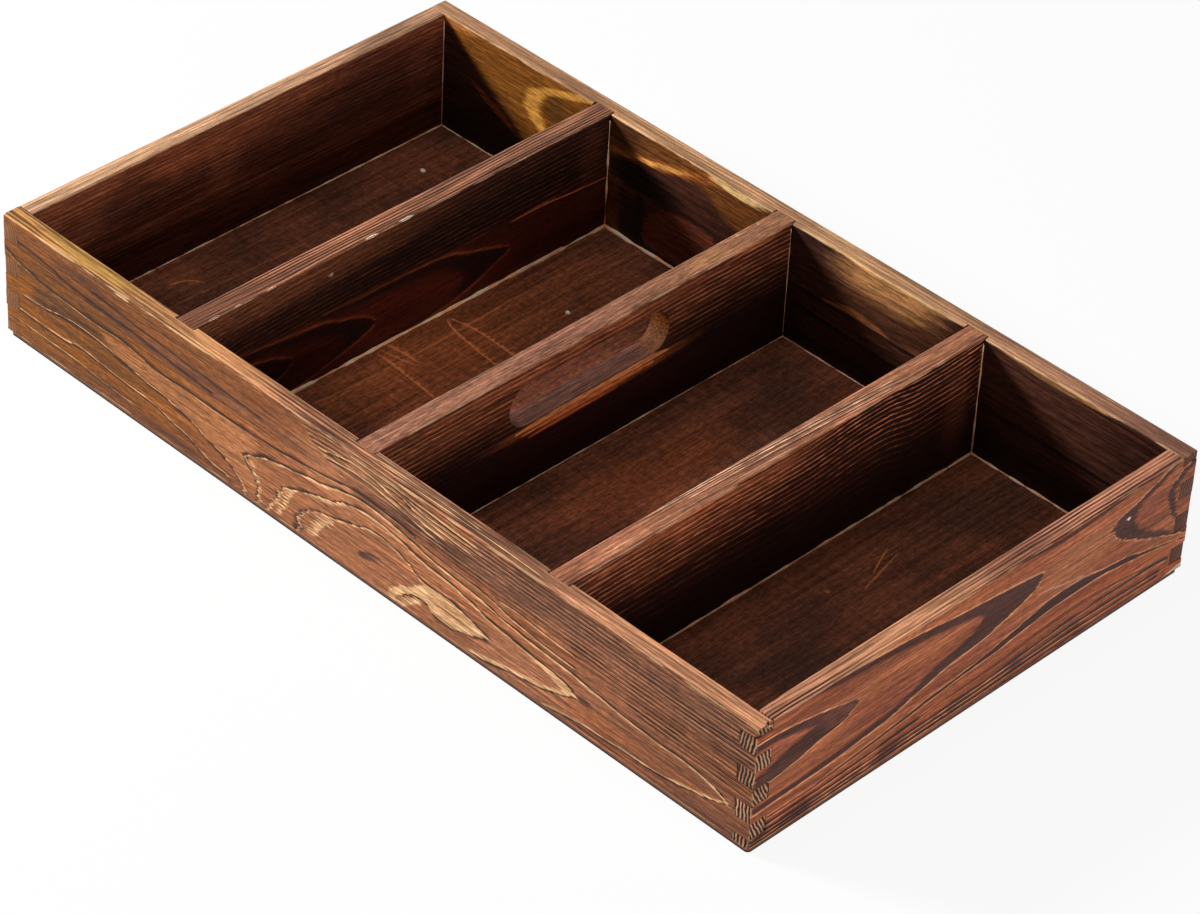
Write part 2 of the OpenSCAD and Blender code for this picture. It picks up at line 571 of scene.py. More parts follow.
class Field:
    """A value that changes over a surface."""

    def __init__(self, sums, socket):
        self.sums = sums
        self.socket = socket

    __add__ = node_for("ADD")
    __sub__ = node_for("SUBTRACT")
    __mul__ = node_for("MULTIPLY")
    __truediv__ = node_for("DIVIDE")
    __pow__ = node_for("POWER")
    __abs__ = node_for("ABSOLUTE")
    low = node_for("MINIMUM")
    high = node_for("MAXIMUM")
    fraction = node_for("FRACT")
    root = node_for("SQRT")
    nearest = node_for("ROUND")
    sine = node_for("SINE")
    scaled = node_for("MULTIPLY_ADD")

    def __rsub__(self, number):
        return self.sums.math("SUBTRACT", number, self)

    def spread(self, reach):
        """A noise from 0 to 1 as one about zero, with this reach in all."""
        return self.scaled(reach, -0.5 * reach)

    def step(self, start, end):
        """0 before start, 1 after end and smooth between, or the other way round."""
        made = self.sums.node("ShaderNodeMapRange", interpolation_type="SMOOTHSTEP", clamp=True)
        return self.sums.filled(made, self, start, end)

    def curve(self, points):
        """A smooth curve through given points, in the points' own units."""
        xs, ys = [p[0] for p in points], [p[1] for p in points]
        x0, y0, width, height = min(xs), min(ys), max(xs) - min(xs), max(ys) - min(ys)
        made = self.sums.node("ShaderNodeFloatCurve")
        path = made.mapping.curves[0]
        for i, (x, y) in enumerate(points):
            place = ((x - x0) / width, (y - y0) / max(height, 1e-6))
            if i < 2:
                path.points[i].location = place
            else:
                path.points.new(*place)
        made.mapping.update()
        self.sums.feed(made.inputs["Value"], self.scaled(1 / width, -x0 / width))
        return Field(self.sums, made.outputs[0]).scaled(height, y0)


class Sums:
    """Adds nodes to one material or world."""

    def __init__(self, owner):
        owner.use_nodes = True
        self.owner = owner
        self.tree = owner.node_tree
        self.tree.nodes.clear()

    def node(self, kind, **settings):
        made = self.tree.nodes.new(kind)
        for key, value in settings.items():
            setattr(made, key, value)
        return made

    def feed(self, socket, value):
        if isinstance(value, Field):
            value = value.socket
        if isinstance(value, bpy.types.NodeSocket):
            self.tree.links.new(value, socket)
        else:
            socket.default_value = value

    def filled(self, made, *values, **named):
        """Feeds a node's first inputs, and others by name, and hands back its first output."""
        for socket, value in zip(made.inputs, values):
            self.feed(socket, value)
        for name, value in named.items():
            self.feed(made.inputs[name], value)
        return Field(self, made.outputs[0])

    def math(self, operation, *values):
        return self.filled(self.node("ShaderNodeMath", operation=operation), *values)

    def place(self, kind="Object"):
        """The three parts of a place on the object, or with Normal of the way that it faces."""
        made = self.node("ShaderNodeSeparateXYZ")
        self.feed(made.inputs[0], self.node("ShaderNodeTexCoord").outputs[kind])
        return [Field(self, part) for part in made.outputs]

    def vector(self, x, y, z):
        return self.filled(self.node("ShaderNodeCombineXYZ"), x, y, z)

    def noise(self, vector, scale=1.0, detail=2.0, roughness=0.5):
        made = self.node("ShaderNodeTexNoise", noise_dimensions="3D")
        return self.filled(made, vector, Scale=scale, Detail=detail, Roughness=roughness)

    def mix(self, amount, a, b):
        made = self.node("ShaderNodeMix", data_type="RGBA", blend_type="MIX", clamp_factor=True)
        sockets = {socket.identifier: socket for socket in made.inputs}
        for name, value in (("Factor_Float", amount), ("A_Color", a), ("B_Color", b)):
            self.feed(sockets[name], value)
        return Field(self, next(s for s in made.outputs if s.identifier == "Result_Color"))

    def shade(self, colour, value):
        """A colour times a value."""
        return self.filled(self.node("ShaderNodeVectorMath", operation="SCALE"), colour, Scale=value)

    def finish(self, colour, roughness, bump, bump_depth, specular=0.1, metallic=0.0):
        """Principled surface with a bump, joined to the output."""
        raised = self.filled(self.node("ShaderNodeBump"), Strength=1.0, Distance=bump_depth, Height=bump)
        surface = self.filled(
            self.node("ShaderNodeBsdfPrincipled"), colour, Roughness=roughness, Metallic=metallic,
            Normal=raised, **{"Specular IOR Level": specular})
        self.feed(self.node("ShaderNodeOutputMaterial").inputs["Surface"], surface)
        return self.owner

    def finish_mixed(self, output, amount, first, second):
        """Two shaders, mixed and joined to the output."""
        mixed = self.filled(self.node("ShaderNodeMixShader"), amount, first, second)
        self.feed(self.node(output).inputs["Surface"], mixed)
        return self.owner


print("node sums ready, mid grey is", round(linear(128, 128, 128)[0], 3), "in linear light")

# %% [markdown]
# ## The growth rings
# Softwood that has been singed and brushed shows its growth rings as dark lines. Most of them run
# along the board. So the wood starts as a field of ring numbers that grows up the board and bows
# where the tree bowed. Where the field passes a whole number lies one dark line.

# %% Wood fields
# For each noise: its scale per mm along and across the board, a shift of its seed, detail, roughness
NOISES = dict(
    sway=(0.012, 0.035, 0, 2, 0.5), fray=(0.09, 1.5, 0, 2, 0.5), cloud=(0.011, 0.05, 3, 3, 0.5),
    band=(0.007, 0.35, 15, 4, 0.6), fade=(0.014, 0.16, 5, 2, 0.5), ragged=(0.07, 0.8, 9, 4, 0.65),
    thick=(0.06, 0.05, 21, 3, 0.5), fibre=(0.022, 0.8, 0, 4, 0.7), grain=(0.22, 1.5, 2, 2, 0.5),
    hair=(0.02, 0.8, 7, 3, 0.5), wear=(0.07, 0.5, 13, 3, 0.5), top_drift=(0.012, 0.05, 11, 2, 0.5),
    top_bold=(0.016, 0.4, 29, 3, 0.5), top_rub=(0.02, 0.3, 27, 3, 0.5), end_sway=(0.2, 0.2, 17, 2, 0.5),
    end_patch=(0.05, 0.09, 23, 2, 0.5))
# A noise seldom leaves this span, so a step over it uses the whole way from 0 to 1
NOISE_SPAN = (0.27, 0.73)
RINGS_PER_MM_IN = 0.45

Board = namedtuple("Board", "s u v w size faces_end faces_up faces_in figure tones")


def measure(s, node, along, inward, figure, tones):
    """Millimetres along a board, up it and in from its outer lower corner, and where its faces look."""
    low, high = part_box(node)
    across = 1 - along
    outer = low[across] if inward > 0 else high[across]
    place, facing = s.place(), s.place("Normal")
    u = place[along].scaled(1 / MM, -low[along] / MM)
    v = place[2].scaled(1 / MM, -low.z / MM)
    w = place[across].scaled(inward / MM, -inward * outer / MM)
    size = [(high[i] - low[i]) / MM for i in (along, 2, across)]
    faces_end, faces_up, faces_in = abs(facing[along]), facing[2], facing[across] * float(inward)
    return Board(s, u, v, w, size, faces_end, faces_up, faces_in, figure, tones)


def streaks(board, name):
    """Noise that is drawn out along the board."""
    along, across, shift, detail, roughness = NOISES[name]
    seed = board.figure["seed"] + shift
    place = board.s.vector(board.u * along, board.v.scaled(across, seed), board.w * across)
    return board.s.noise(place, detail=detail, roughness=roughness)


def ring_field(board):
    """Ring numbers over the board's faces, and how fast they change per millimetre."""
    figure = board.figure
    above = board.v.scaled(1.0, -figure["axis"]).high(0.5)
    up = (above * (1 / figure["spread"])) ** figure["power"]
    bow = board.u.curve(figure["bow"]) + board.w * RINGS_PER_MM_IN
    rings = up + bow + streaks(board, "sway").spread(figure["sway"])
    rings = rings + streaks(board, "fray").spread(figure["fray"])
    return rings, up * figure["power"] / above


def arris_distance(board):
    """Distance from the nearest long edge of the board's box: the middle one of three distances."""
    places = (board.u, board.v, board.w)
    a, b, c = (place.low(full - place) for place, full in zip(places, board.size))
    return a.low(b).high(a.high(b).low(c))


print("ring field ready with", len(NOISES), "noises")

# %% [markdown]
# ## The figure that each board shows
# Islands, arrows, flames, burnt patches and single bold lines make each board different. A painter would
# copy them with a brush, and so does this step: a spot is a patch, a haze is a spot with a very soft edge,
# an area lies between two given curves, flames are a row of thin teeth along the grain, and a line is thin
# and dark with a pale edge on one side. Places are millimetres along the board and above its lower edge, or
# on its top in from its outer face. A small jitter along the grain makes steep edges ragged.

# %% Figure
LINE_FADE = 2
Brush = namedtuple("Brush", "u v ragged thick pale dark")


def spot(at, reach, colour, amount=0.8, tilt=0.0, soft=0.3, ragged=1.2):
    """A soft patch: its middle, its half length and half height, and its colour."""
    return dict(layers=spot_layers, at=at, reach=reach, colour=linear(*colour), amount=amount, tilt=tilt,
                soft=soft, ragged=ragged)


def haze(at, reach, colour, amount, **more):
    return spot(at, reach, colour, amount, soft=0.6, **more)


def area(upper, lower, colour, amount=0.9, soft=0.6, hole=None, rim=0.0, glow=0.7, steep=False):
    """The wood between two curves. A hole takes an inner part out, a rim puts a pale edge outside."""
    return dict(layers=area_layers, upper=upper, lower=lower, colour=linear(*colour), amount=amount,
                soft=soft, hole=hole, rim=rim, glow=glow, steep=steep)


def flames(start, end, count, reach, colour, amount=0.9):
    """A row of thin flames along the grain, on the left of a slanting line between two places."""
    return dict(layers=flame_layers, start=start, end=end, count=count, reach=reach,
                colour=linear(*colour), amount=amount)


def line(points, dark=0.8, pale=0.0, amount=0.9, steep=False):
    """A dark line through points, with a pale edge above it, or below it where pale is negative."""
    return dict(layers=line_layers, points=points, dark=dark, pale=pale, amount=amount, steep=steep)


def spot_layers(brush, item):
    """1 inside a spot and 0 outside, with a soft and ragged edge."""
    (at_u, at_v), (reach_u, reach_v) = item["at"], item["reach"]
    du = brush.u.scaled(1 / reach_u, -at_u / reach_u)
    rise = brush.u.scaled(item["tilt"], at_v - item["tilt"] * at_u)
    dv = (brush.v - rise) * (1 / reach_v)
    far = (du * du + dv * dv).root() + brush.ragged.spread(item["ragged"])
    mask = far.step(1.0 + item["soft"], 1.0 - item["soft"])
    return [(mask * item["amount"], item["colour"])]


def flame_layers(brush, item):
    """A saw-toothed strip: each tooth is a flame, and the noise makes some longer."""
    (u0, v0), (u1, v1) = item["start"], item["end"]
    share = brush.v.scaled(1 / (v1 - v0), -v0 / (v1 - v0))
    behind = share.scaled(u1 - u0, u0) - brush.u
    tooth = abs((share * item["count"]).fraction().scaled(2.0, -1.0))
    reach = tooth.scaled(0.8, 0.2) * (brush.ragged * (2 * item["reach"]))
    inside = behind.step(-0.4, 0.3) * (reach - behind).step(-0.6, 0.9)
    mask = inside * (share.step(-0.05, 0.05) * share.step(1.05, 0.95))
    return [(mask * item["amount"], item["colour"])]


def depth_between(u, v, upper, lower):
    """How deep a place lies between two curves, in millimetres up or down the board."""
    return (u.curve(upper) - v).low(v - u.curve(lower))


def area_layers(brush, item):
    """The inside of an area, and the rim just outside it."""
    u, v = (brush.v, brush.u) if item["steep"] else (brush.u, brush.v)
    soft, rim = item["soft"], item["rim"]
    depth = depth_between(u, v, item["upper"], item["lower"])
    ends = (u - item["upper"][0][0]).low(item["upper"][-1][0] - u)
    inside = depth.low(ends).step(-0.5 * soft, 0.5 * soft)
    if item["hole"]:
        inside = inside * depth_between(u, v, *item["hole"]).step(2.4 * soft, -0.6 * soft)
    layers = [(inside * item["amount"], item["colour"])]
    if rim:
        edge = depth.step(-1.6 * rim, -0.6 * rim) * depth.step(0.1, -0.3)
        layers.append((edge * (ends.step(-1.0, 2.0) * item["glow"]), brush.pale))
    return layers


def line_layers(brush, item):
    """The pale edge of a line and the dark core beside it."""
    u, v = (brush.v, brush.u) if item["steep"] else (brush.u, brush.v)
    points = item["points"]
    start, end = points[0][0], points[-1][0]
    offset = v - u.curve(points)
    if item["pale"] < 0:
        offset = offset * -1.0
    ends = u.step(start - LINE_FADE, start + LINE_FADE) * u.step(end + LINE_FADE, end - LINE_FADE)
    ends = ends * item["amount"]
    layers = []
    if item["pale"]:
        wide = (1.9 - brush.thick) * abs(item["pale"])
        edge = offset.step(-0.1, 0.3) * offset.step(wide * 1.7, wide * 0.5)
        layers.append((edge * ends, brush.pale))
    if item["dark"]:
        wide = brush.thick * item["dark"]
        core = offset.step(wide * -1.7, wide * -0.4) * offset.step(0.35, -0.1)
        layers.append((core * ends, brush.dark))
    return layers


def paint(s, colour, brush, items, visible=None):
    """Lays spots, areas, flames and lines over a colour, and returns it with the mask of its dark lines."""
    marks = None
    for item in items:
        for mask, tone in item["layers"](brush, item):
            if visible is not None:
                mask = mask * visible
            colour = s.mix(mask, colour, tone)
            if tone is brush.dark:
                marks = marks.high(mask) if marks else mask
    return colour, marks


print("brushes ready")

# %% [markdown]
# ## One wood for every board
# Each board gets the same layers in the same order, with its own numbers: pale and dark clouds and streaks,
# painted shade that deepens towards the floor on the inside, the painted figure, the ring lines, fine
# fibres and hairlines, a lighter sanded top, striped end grain on the fingers, and pale arrises, partly
# wear and partly painted highlight. The inside is darker than the outside, partly burnt and partly painted
# shade. The pairs of numbers in the steps are thresholds.

# %% Burnt wood
TOP_BAND_MM = (4.0, 2.0)
SLOT_BAND_MM = (4.0, 6.0)
SLOT_CHANGE_MM = (158.0, 168.0)
QUIET_EDGE_MM = 1.5
STRIPES_PER_MM = 0.54
RELIEF = 0.22 * MM


def ring_masks(board, inner, thick, fade):
    """The dark ring lines and their pale edges. A figure can keep a part of the outside quiet."""
    figure, tones = board.figure, board.tones
    rings, steep = ring_field(board)
    phase = rings.fraction()
    dark_share = (steep * figure["dark_mm"]).low(figure["dark_share"]) * thick
    pale_share = (steep * figure["pale_mm"]).low(figure["pale_share"])
    dark = phase.step(dark_share * (1.0 + figure["dark_soft"]), dark_share * 0.6)
    pale = phase.step(1.0 - pale_share, 1.0 - pale_share * 0.3)
    amount = fade.step(0.6, 0.4).scaled(-figure["dark_fade"] * tones["rings"], tones["rings"])
    if figure["quiet"]:
        loud = depth_between(board.u, board.v, *figure["quiet"]).step(QUIET_EDGE_MM, -QUIET_EDGE_MM)
        loud = loud if inner is None else loud.high(inner)
        amount = amount * loud
        pale = pale * loud
    return dark, pale, amount


def face_colour(board, inner, visible, patches, near_patches, lines):
    """Ground, figure and ring lines of the faces, the mask of the dark lines, and the brush."""
    s, figure, tones = board.s, board.figure, board.tones
    cloud, band, fade, ragged = (streaks(board, name) for name in ("cloud", "band", "fade", "ragged"))
    thick = streaks(board, "thick").step(0.3, 0.7).scaled(0.9, 0.5)

    # The inner tones are darker: partly burnt wood, partly painted shade.
    def side(key):
        burnt_and_shaded = tones["inner"][key]
        return burnt_and_shaded if inner is None else s.mix(inner, tones["outer"][key], burnt_and_shaded)

    brush = Brush(board.u + ragged.spread(figure["jag"]), board.v + fade.spread(1.6), ragged, thick,
                  side("pale"), side("late"))
    colour = s.mix(cloud.step(0.36, 0.64), side("early"), side("early_2"))
    colour = s.shade(colour, band.step(0.28, 0.72).scaled(2 * tones["streak"], 1.0 - tones["streak"]))
    # Painted shade: the inside faces darken towards the floor, down to a near-black shade tone.
    foot = board.v.step(*tones["foot_mm"]) * tones["foot"]
    if inner is not None:
        foot = foot * inner
    lit = 1.0 - foot
    colour = s.mix(foot, colour, tones["soot"])
    colour, _ = paint(s, colour, brush, patches, visible)
    if near_patches:
        colour, _ = paint(s, colour, brush, near_patches, board.faces_in.step(-0.2, -0.7))
    dark, pale, amount = ring_masks(board, inner, thick, fade)
    colour = s.mix(pale * lit * tones["ring_edge"], colour, brush.pale)
    dark = dark * lit * amount
    colour = s.mix(dark, colour, brush.dark)
    colour, marks = paint(s, colour, brush, lines, visible)
    return colour, dark.high(marks) if marks else dark, brush


def top_colour(board, brush, tops):
    """The sanded top edge: lines along the board, two tones from end to end, and its own marks."""
    s, tones = board.s, board.tones
    number = board.w * tones["top_lines_per_mm"] + streaks(board, "top_drift").spread(2.5)
    phase = (number + board.u * tones["top_slant"]).fraction()
    mask = phase.step(0.3, 0.55) * phase.step(1.0, 0.82)
    mask = mask * streaks(board, "top_bold").step(0.36, 0.56).scaled(0.6, 0.4)
    ground = s.mix(board.u.step(*tones["top_change"]), tones["top"], tones["top_2"])
    ground = s.shade(ground, streaks(board, "top_rub").step(0.3, 0.7).scaled(0.5, 0.75))
    colour = s.mix(mask * tones["top_line_amount"], ground, tones["top_line"])
    brush = brush._replace(u=board.u, v=board.w, pale=tones["worn"], dark=tones["top_line"])
    return paint(s, colour, brush, tops)[0]


def end_colour(board):
    """End grain of the fingers: pale slanting stripes on dark wood, strong at one end of the board."""
    s, tones = board.s, board.tones
    row = (board.v * (MM / finger_pitch)).nearest()
    lean = (row * 2.3).sine().scaled(0.07, tones["end_lean"])
    rise = board.v - row * (finger_pitch / MM)
    start = row.scaled(0.37, streaks(board, "end_sway").spread(1.1))
    phase = (start + (board.w * STRIPES_PER_MM + rise * lean)).fraction()
    stripe = phase.step(0.4, 0.6) * phase.step(1.0, 0.84)
    patch = streaks(board, "end_patch").step(0.35, 0.6)
    strong = board.u.step(*tones["end_strong"])
    strength = patch.scaled(0.5, 0.5) * strong.scaled(0.8, 0.2)
    ground = s.mix(strong, tones["end_plain"], tones["end_dark"])
    return s.mix(stripe * strength, ground, tones["end_pale"])


def worn_mask(board, is_divider):
    """Where the arrises are pale, partly rubbed and partly a painted highlight: on a divider only near the
    top.
    """
    rub = streaks(board, "wear")
    reach = rub.step(0.35, 0.65) * board.tones["worn_mm"]
    worn = arris_distance(board).step(reach + 0.35, reach * 0.5) * rub.step(0.36, 0.56)
    from_end = board.u.low(board.size[0] - board.u)
    worn = worn * from_end.step(1.0, 5.0).scaled(0.7, 0.3)
    if is_divider:
        worn = worn * board.v.step(board.size[1] - 3.0, board.size[1] - 1.5)
    return worn * board.tones["worn_amount"]


def wood(node, along, inward, figure, tones, patches=(), lines=(), tops=(), near_patches=(), inside=False,
         slot_tones=None):
    """Burnt and brushed softwood for one board. Its patches and lines lie outside, or inside if so said.
    A divider has no outside: they lie on both faces, but the near patches on the outward face alone."""
    s = Sums(bpy.data.materials.new(node + "_wood"))
    board = measure(s, node, along, inward, figure, tones)
    height = board.size[1]
    is_divider = node in DIVIDERS
    inner = visible = None
    if not is_divider:
        inner = board.faces_in.step(0.2, 0.7)
        visible = inner if inside else 1.0 - inner
    colour, dark, brush = face_colour(board, inner, visible, patches, near_patches, lines)
    fibre = streaks(board, "fibre").step(*NOISE_SPAN)
    grain = streaks(board, "grain").step(0.25, 0.75)
    hair = streaks(board, "hair").step(0.58, 0.68)

    if slot_tones:
        sawn = board.faces_in.step(0.85, 0.5) * board.faces_in.step(-0.85, -0.5)
        sawn = sawn * board.v.step(height - SLOT_BAND_MM[0], height - SLOT_BAND_MM[1])
        first, second = (linear(*tone) for tone in slot_tones)
        colour = s.mix(sawn, colour, s.mix(board.u.step(*SLOT_CHANGE_MM), first, second))
    colour = s.shade(colour, 1.0 - hair * tones["hair"])
    near_top = board.v.step(height - TOP_BAND_MM[0], height - TOP_BAND_MM[1])
    is_top = board.faces_up.step(0.45, 0.85) * near_top
    colour = s.mix(is_top, colour, top_colour(board, brush, tops))
    for strands, key in ((fibre, "fibre"), (grain, "grain")):
        change = (strands - 0.5) * is_top.scaled(tones["top_" + key] - 1.0, 1.0)
        colour = s.shade(colour, change.scaled(tones[key], 1.0))
    if not is_divider:
        colour = s.mix(board.faces_end.step(0.6, 0.9), colour, end_colour(board))
    # Pale arrises: partly wear, partly painted highlight.
    colour = s.mix(worn_mask(board, is_divider), colour, tones["worn"])

    rough = fibre * 0.2 - dark * 0.08 + 0.46
    relief = fibre * 0.6 + grain * 0.2 + dark * 0.5
    print("wood of", node, "with", len(s.tree.nodes), "nodes")
    return s.finish(colour, rough, relief, RELIEF)


def dress(piece, material):
    piece.data.materials.clear()
    piece.data.materials.append(material)


def shades(early, early_2, late, pale):
    """The tones of one side: two of the ground, the dark lines and their pale edges."""
    return dict(early=linear(*early), early_2=linear(*early_2), late=linear(*late), pale=linear(*pale))


def tones_like(base, **changes):
    """The tones of another board with some changed. Three numbers are a colour."""
    made = dict(base)
    for key, value in changes.items():
        made[key] = linear(*value) if isinstance(value, tuple) and len(value) == 3 else value
    return made


print("burnt wood ready")

# %% [markdown]
# ## The front board
# An island lies low in the middle of its face, with a teardrop at its right and rings bowed over it.
# Each ring line is thin and dark, with a cream edge on the side of the island, and the steep parts of
# the rings break up into cream flames. The left end is golden with a burnt patch. The upper right is
# purple-brown with level lines.

# %% Front board wood
CREAM = (230, 180, 130)
front_figure = dict(
    seed=1, axis=-20, spread=2.2, power=1.0, sway=0.5, fray=0.3, jag=11, dark_fade=0.5,
    dark_mm=0.7, dark_share=0.4, dark_soft=1.2, pale_mm=0.8, pale_share=0.3,
    bow=[(0, 0), (60, 1.6), (130, 2.9), (180, 2.7), (228, 1.6), (262, 2.4), (300, 3), (450, 3.6)],
    quiet=([(0, 70), (180, 70), (200, 52), (230, 48), (260, 44), (300, 40), (350, 38), (400, 26),
            (450, 24)],
           [(0, -5), (450, -6)]))
# The inner tones are darker than the outer ones: partly burnt, partly painted shade.
front_tones = tones_like(
    {}, outer=shades((176, 107, 66), (142, 83, 53), (50, 25, 14), CREAM),
    inner=shades((104, 54, 36), (76, 38, 26), (34, 17, 12), (134, 76, 50)),
    streak=0.4, rings=0.9, ring_edge=0.3, foot=0.6, foot_mm=(34, 0), soot=(20, 8, 6), hair=0.5,
    top=(196, 138, 78), top_2=(194, 132, 98), top_change=(60, 210), top_line=(84, 50, 34),
    top_line_amount=0.85, top_lines_per_mm=0.5, top_slant=0.004, top_fibre=1.4, top_grain=0.4,
    end_dark=(46, 25, 18), end_plain=(106, 64, 38), end_pale=(204, 150, 112), end_strong=(100, 300),
    end_lean=0.2, worn=(240, 198, 146), worn_amount=0.5, worn_mm=0.8, fibre=1.15, grain=0.8)
front_patches = [
    haze((0, 24), (150, 70), (120, 68, 8), 0.9),
    haze((90, 56), (120, 14), (116, 68, 34), 0.7),
    haze((375, 24), (34, 10), (184, 122, 90), 0.4),
    haze((322, 10), (28, 12), (204, 140, 102), 0.45),
    haze((432, 10), (52, 18), (112, 72, 54), 0.6),
    haze((226, 46), (36, 14), (204, 138, 96), 0.45),
    haze((96, 44.5), (52, 2.4), (86, 48, 26), 0.6, tilt=-0.07, ragged=2),
    haze((40, 40), (34, 1.8), (86, 50, 20), 0.5, tilt=-0.05, ragged=2),
    haze((60, 20.5), (40, 2.2), (96, 58, 22), 0.5, tilt=-0.02, ragged=2.2),
    spot((235, 14), (80, 22), (178, 118, 80), 0.5, soft=0.5),
    area([(66, 33), (90, 34), (107, 33), (140, 33.5), (165, 34)], [(66, 31), (82, 26), (106, 23.5),
         (137, 16), (165, 2)], (184, 122, 78), 0.5, soft=4),
    area([(18, 29), (26, 35), (34, 36), (46, 35.5), (60, 34), (68, 31)], [(18, 26), (26, 25.5), (36, 27),
         (45, 29), (58, 28.5), (68, 30)], (78, 50, 33), 0.62, soft=5),
    spot((34, 27), (16, 1.4), (66, 40, 24), 0.7, ragged=2.4),
    spot((52, 31), (12, 1.2), (66, 40, 24), 0.6, ragged=2.4),
    spot((48, 54), (20, 2.4), (84, 50, 29), 0.7, ragged=2),
    spot((140, 45), (60, 4.5), (118, 72, 46), 0.6, ragged=2),
    spot((90, 3), (60, 3), (96, 57, 37), 0.6, ragged=2),
    spot((270, 45), (46, 4.5), (110, 68, 50), 0.75, ragged=1.8),
    area([(292, 62), (450, 62)], [(292, 43), (330, 41), (380, 40), (450, 42)], (132, 84, 66), 0.7, soft=8),
    spot((190, 4), (3, 4), (84, 48, 36), 0.7),
    area([(263, 16), (268, 19.2), (275, 20), (282, 20), (288, 18.7), (293, 17), (298, 15.5), (304, 14)],
         [(263, 11), (269.5, 10.3), (271, 8), (276, 7), (283, 7), (288, 8.5), (294, 10.5), (304, 14)],
         CREAM),
    spot((282, 14.8), (10, 3.4), (194, 141, 92), 0.75, soft=0.5),
    area([(246, 4), (250, 8), (255, 11.5), (260, 14), (266, 17), (269, 17)], [(246, -2), (250.5, 1.5),
         (255, 7.5), (258, 9), (262, 10.5), (269, 11)], CREAM, soft=1),
    flames((200, 4), (212, 19), 9, 8, CREAM),
    flames((179, 3), (187.5, 19.5), 9, 4.5, CREAM),
    flames((254, 0), (270, 12.5), 8, 8, CREAM),
    spot((162.5, 16.5), (2, 3), CREAM, 0.6, tilt=-1.2, ragged=2),
    area([(330, 20.4), (340, 19.4), (348, 18.4), (353, 17), (355.5, 16)], [(330, 19.6), (340, 17.3),
         (348, 15), (353, 15), (355.5, 16)], CREAM, 0.85),
    area([(294, 2.6), (305, 4.6), (315, 6.6), (332, 9.9), (340, 12), (345, 14), (355, 16.4)], [(294, 1.2),
         (305, 2.6), (315, 4.6), (332, 8), (340, 10.2), (345, 12), (355, 15.8)], CREAM, 0.85),
    spot((358, 16.3), (3.4, 1.9), (88, 56, 48), 0.85),
    spot((347, 9.4), (7, 1.4), (104, 64, 50), 0.6),
    spot((157.2, 20.9), (2.2, 1.7), (66, 38, 28), 0.95),
    spot((166, 25.6), (8, 1), (66, 38, 28), tilt=0.45),
    spot((232.5, 13.3), (6, 1.8), (88, 56, 48), 0.9, tilt=0.3, ragged=1.8),
    spot((79, 59.6), (5, 0.6), CREAM)]
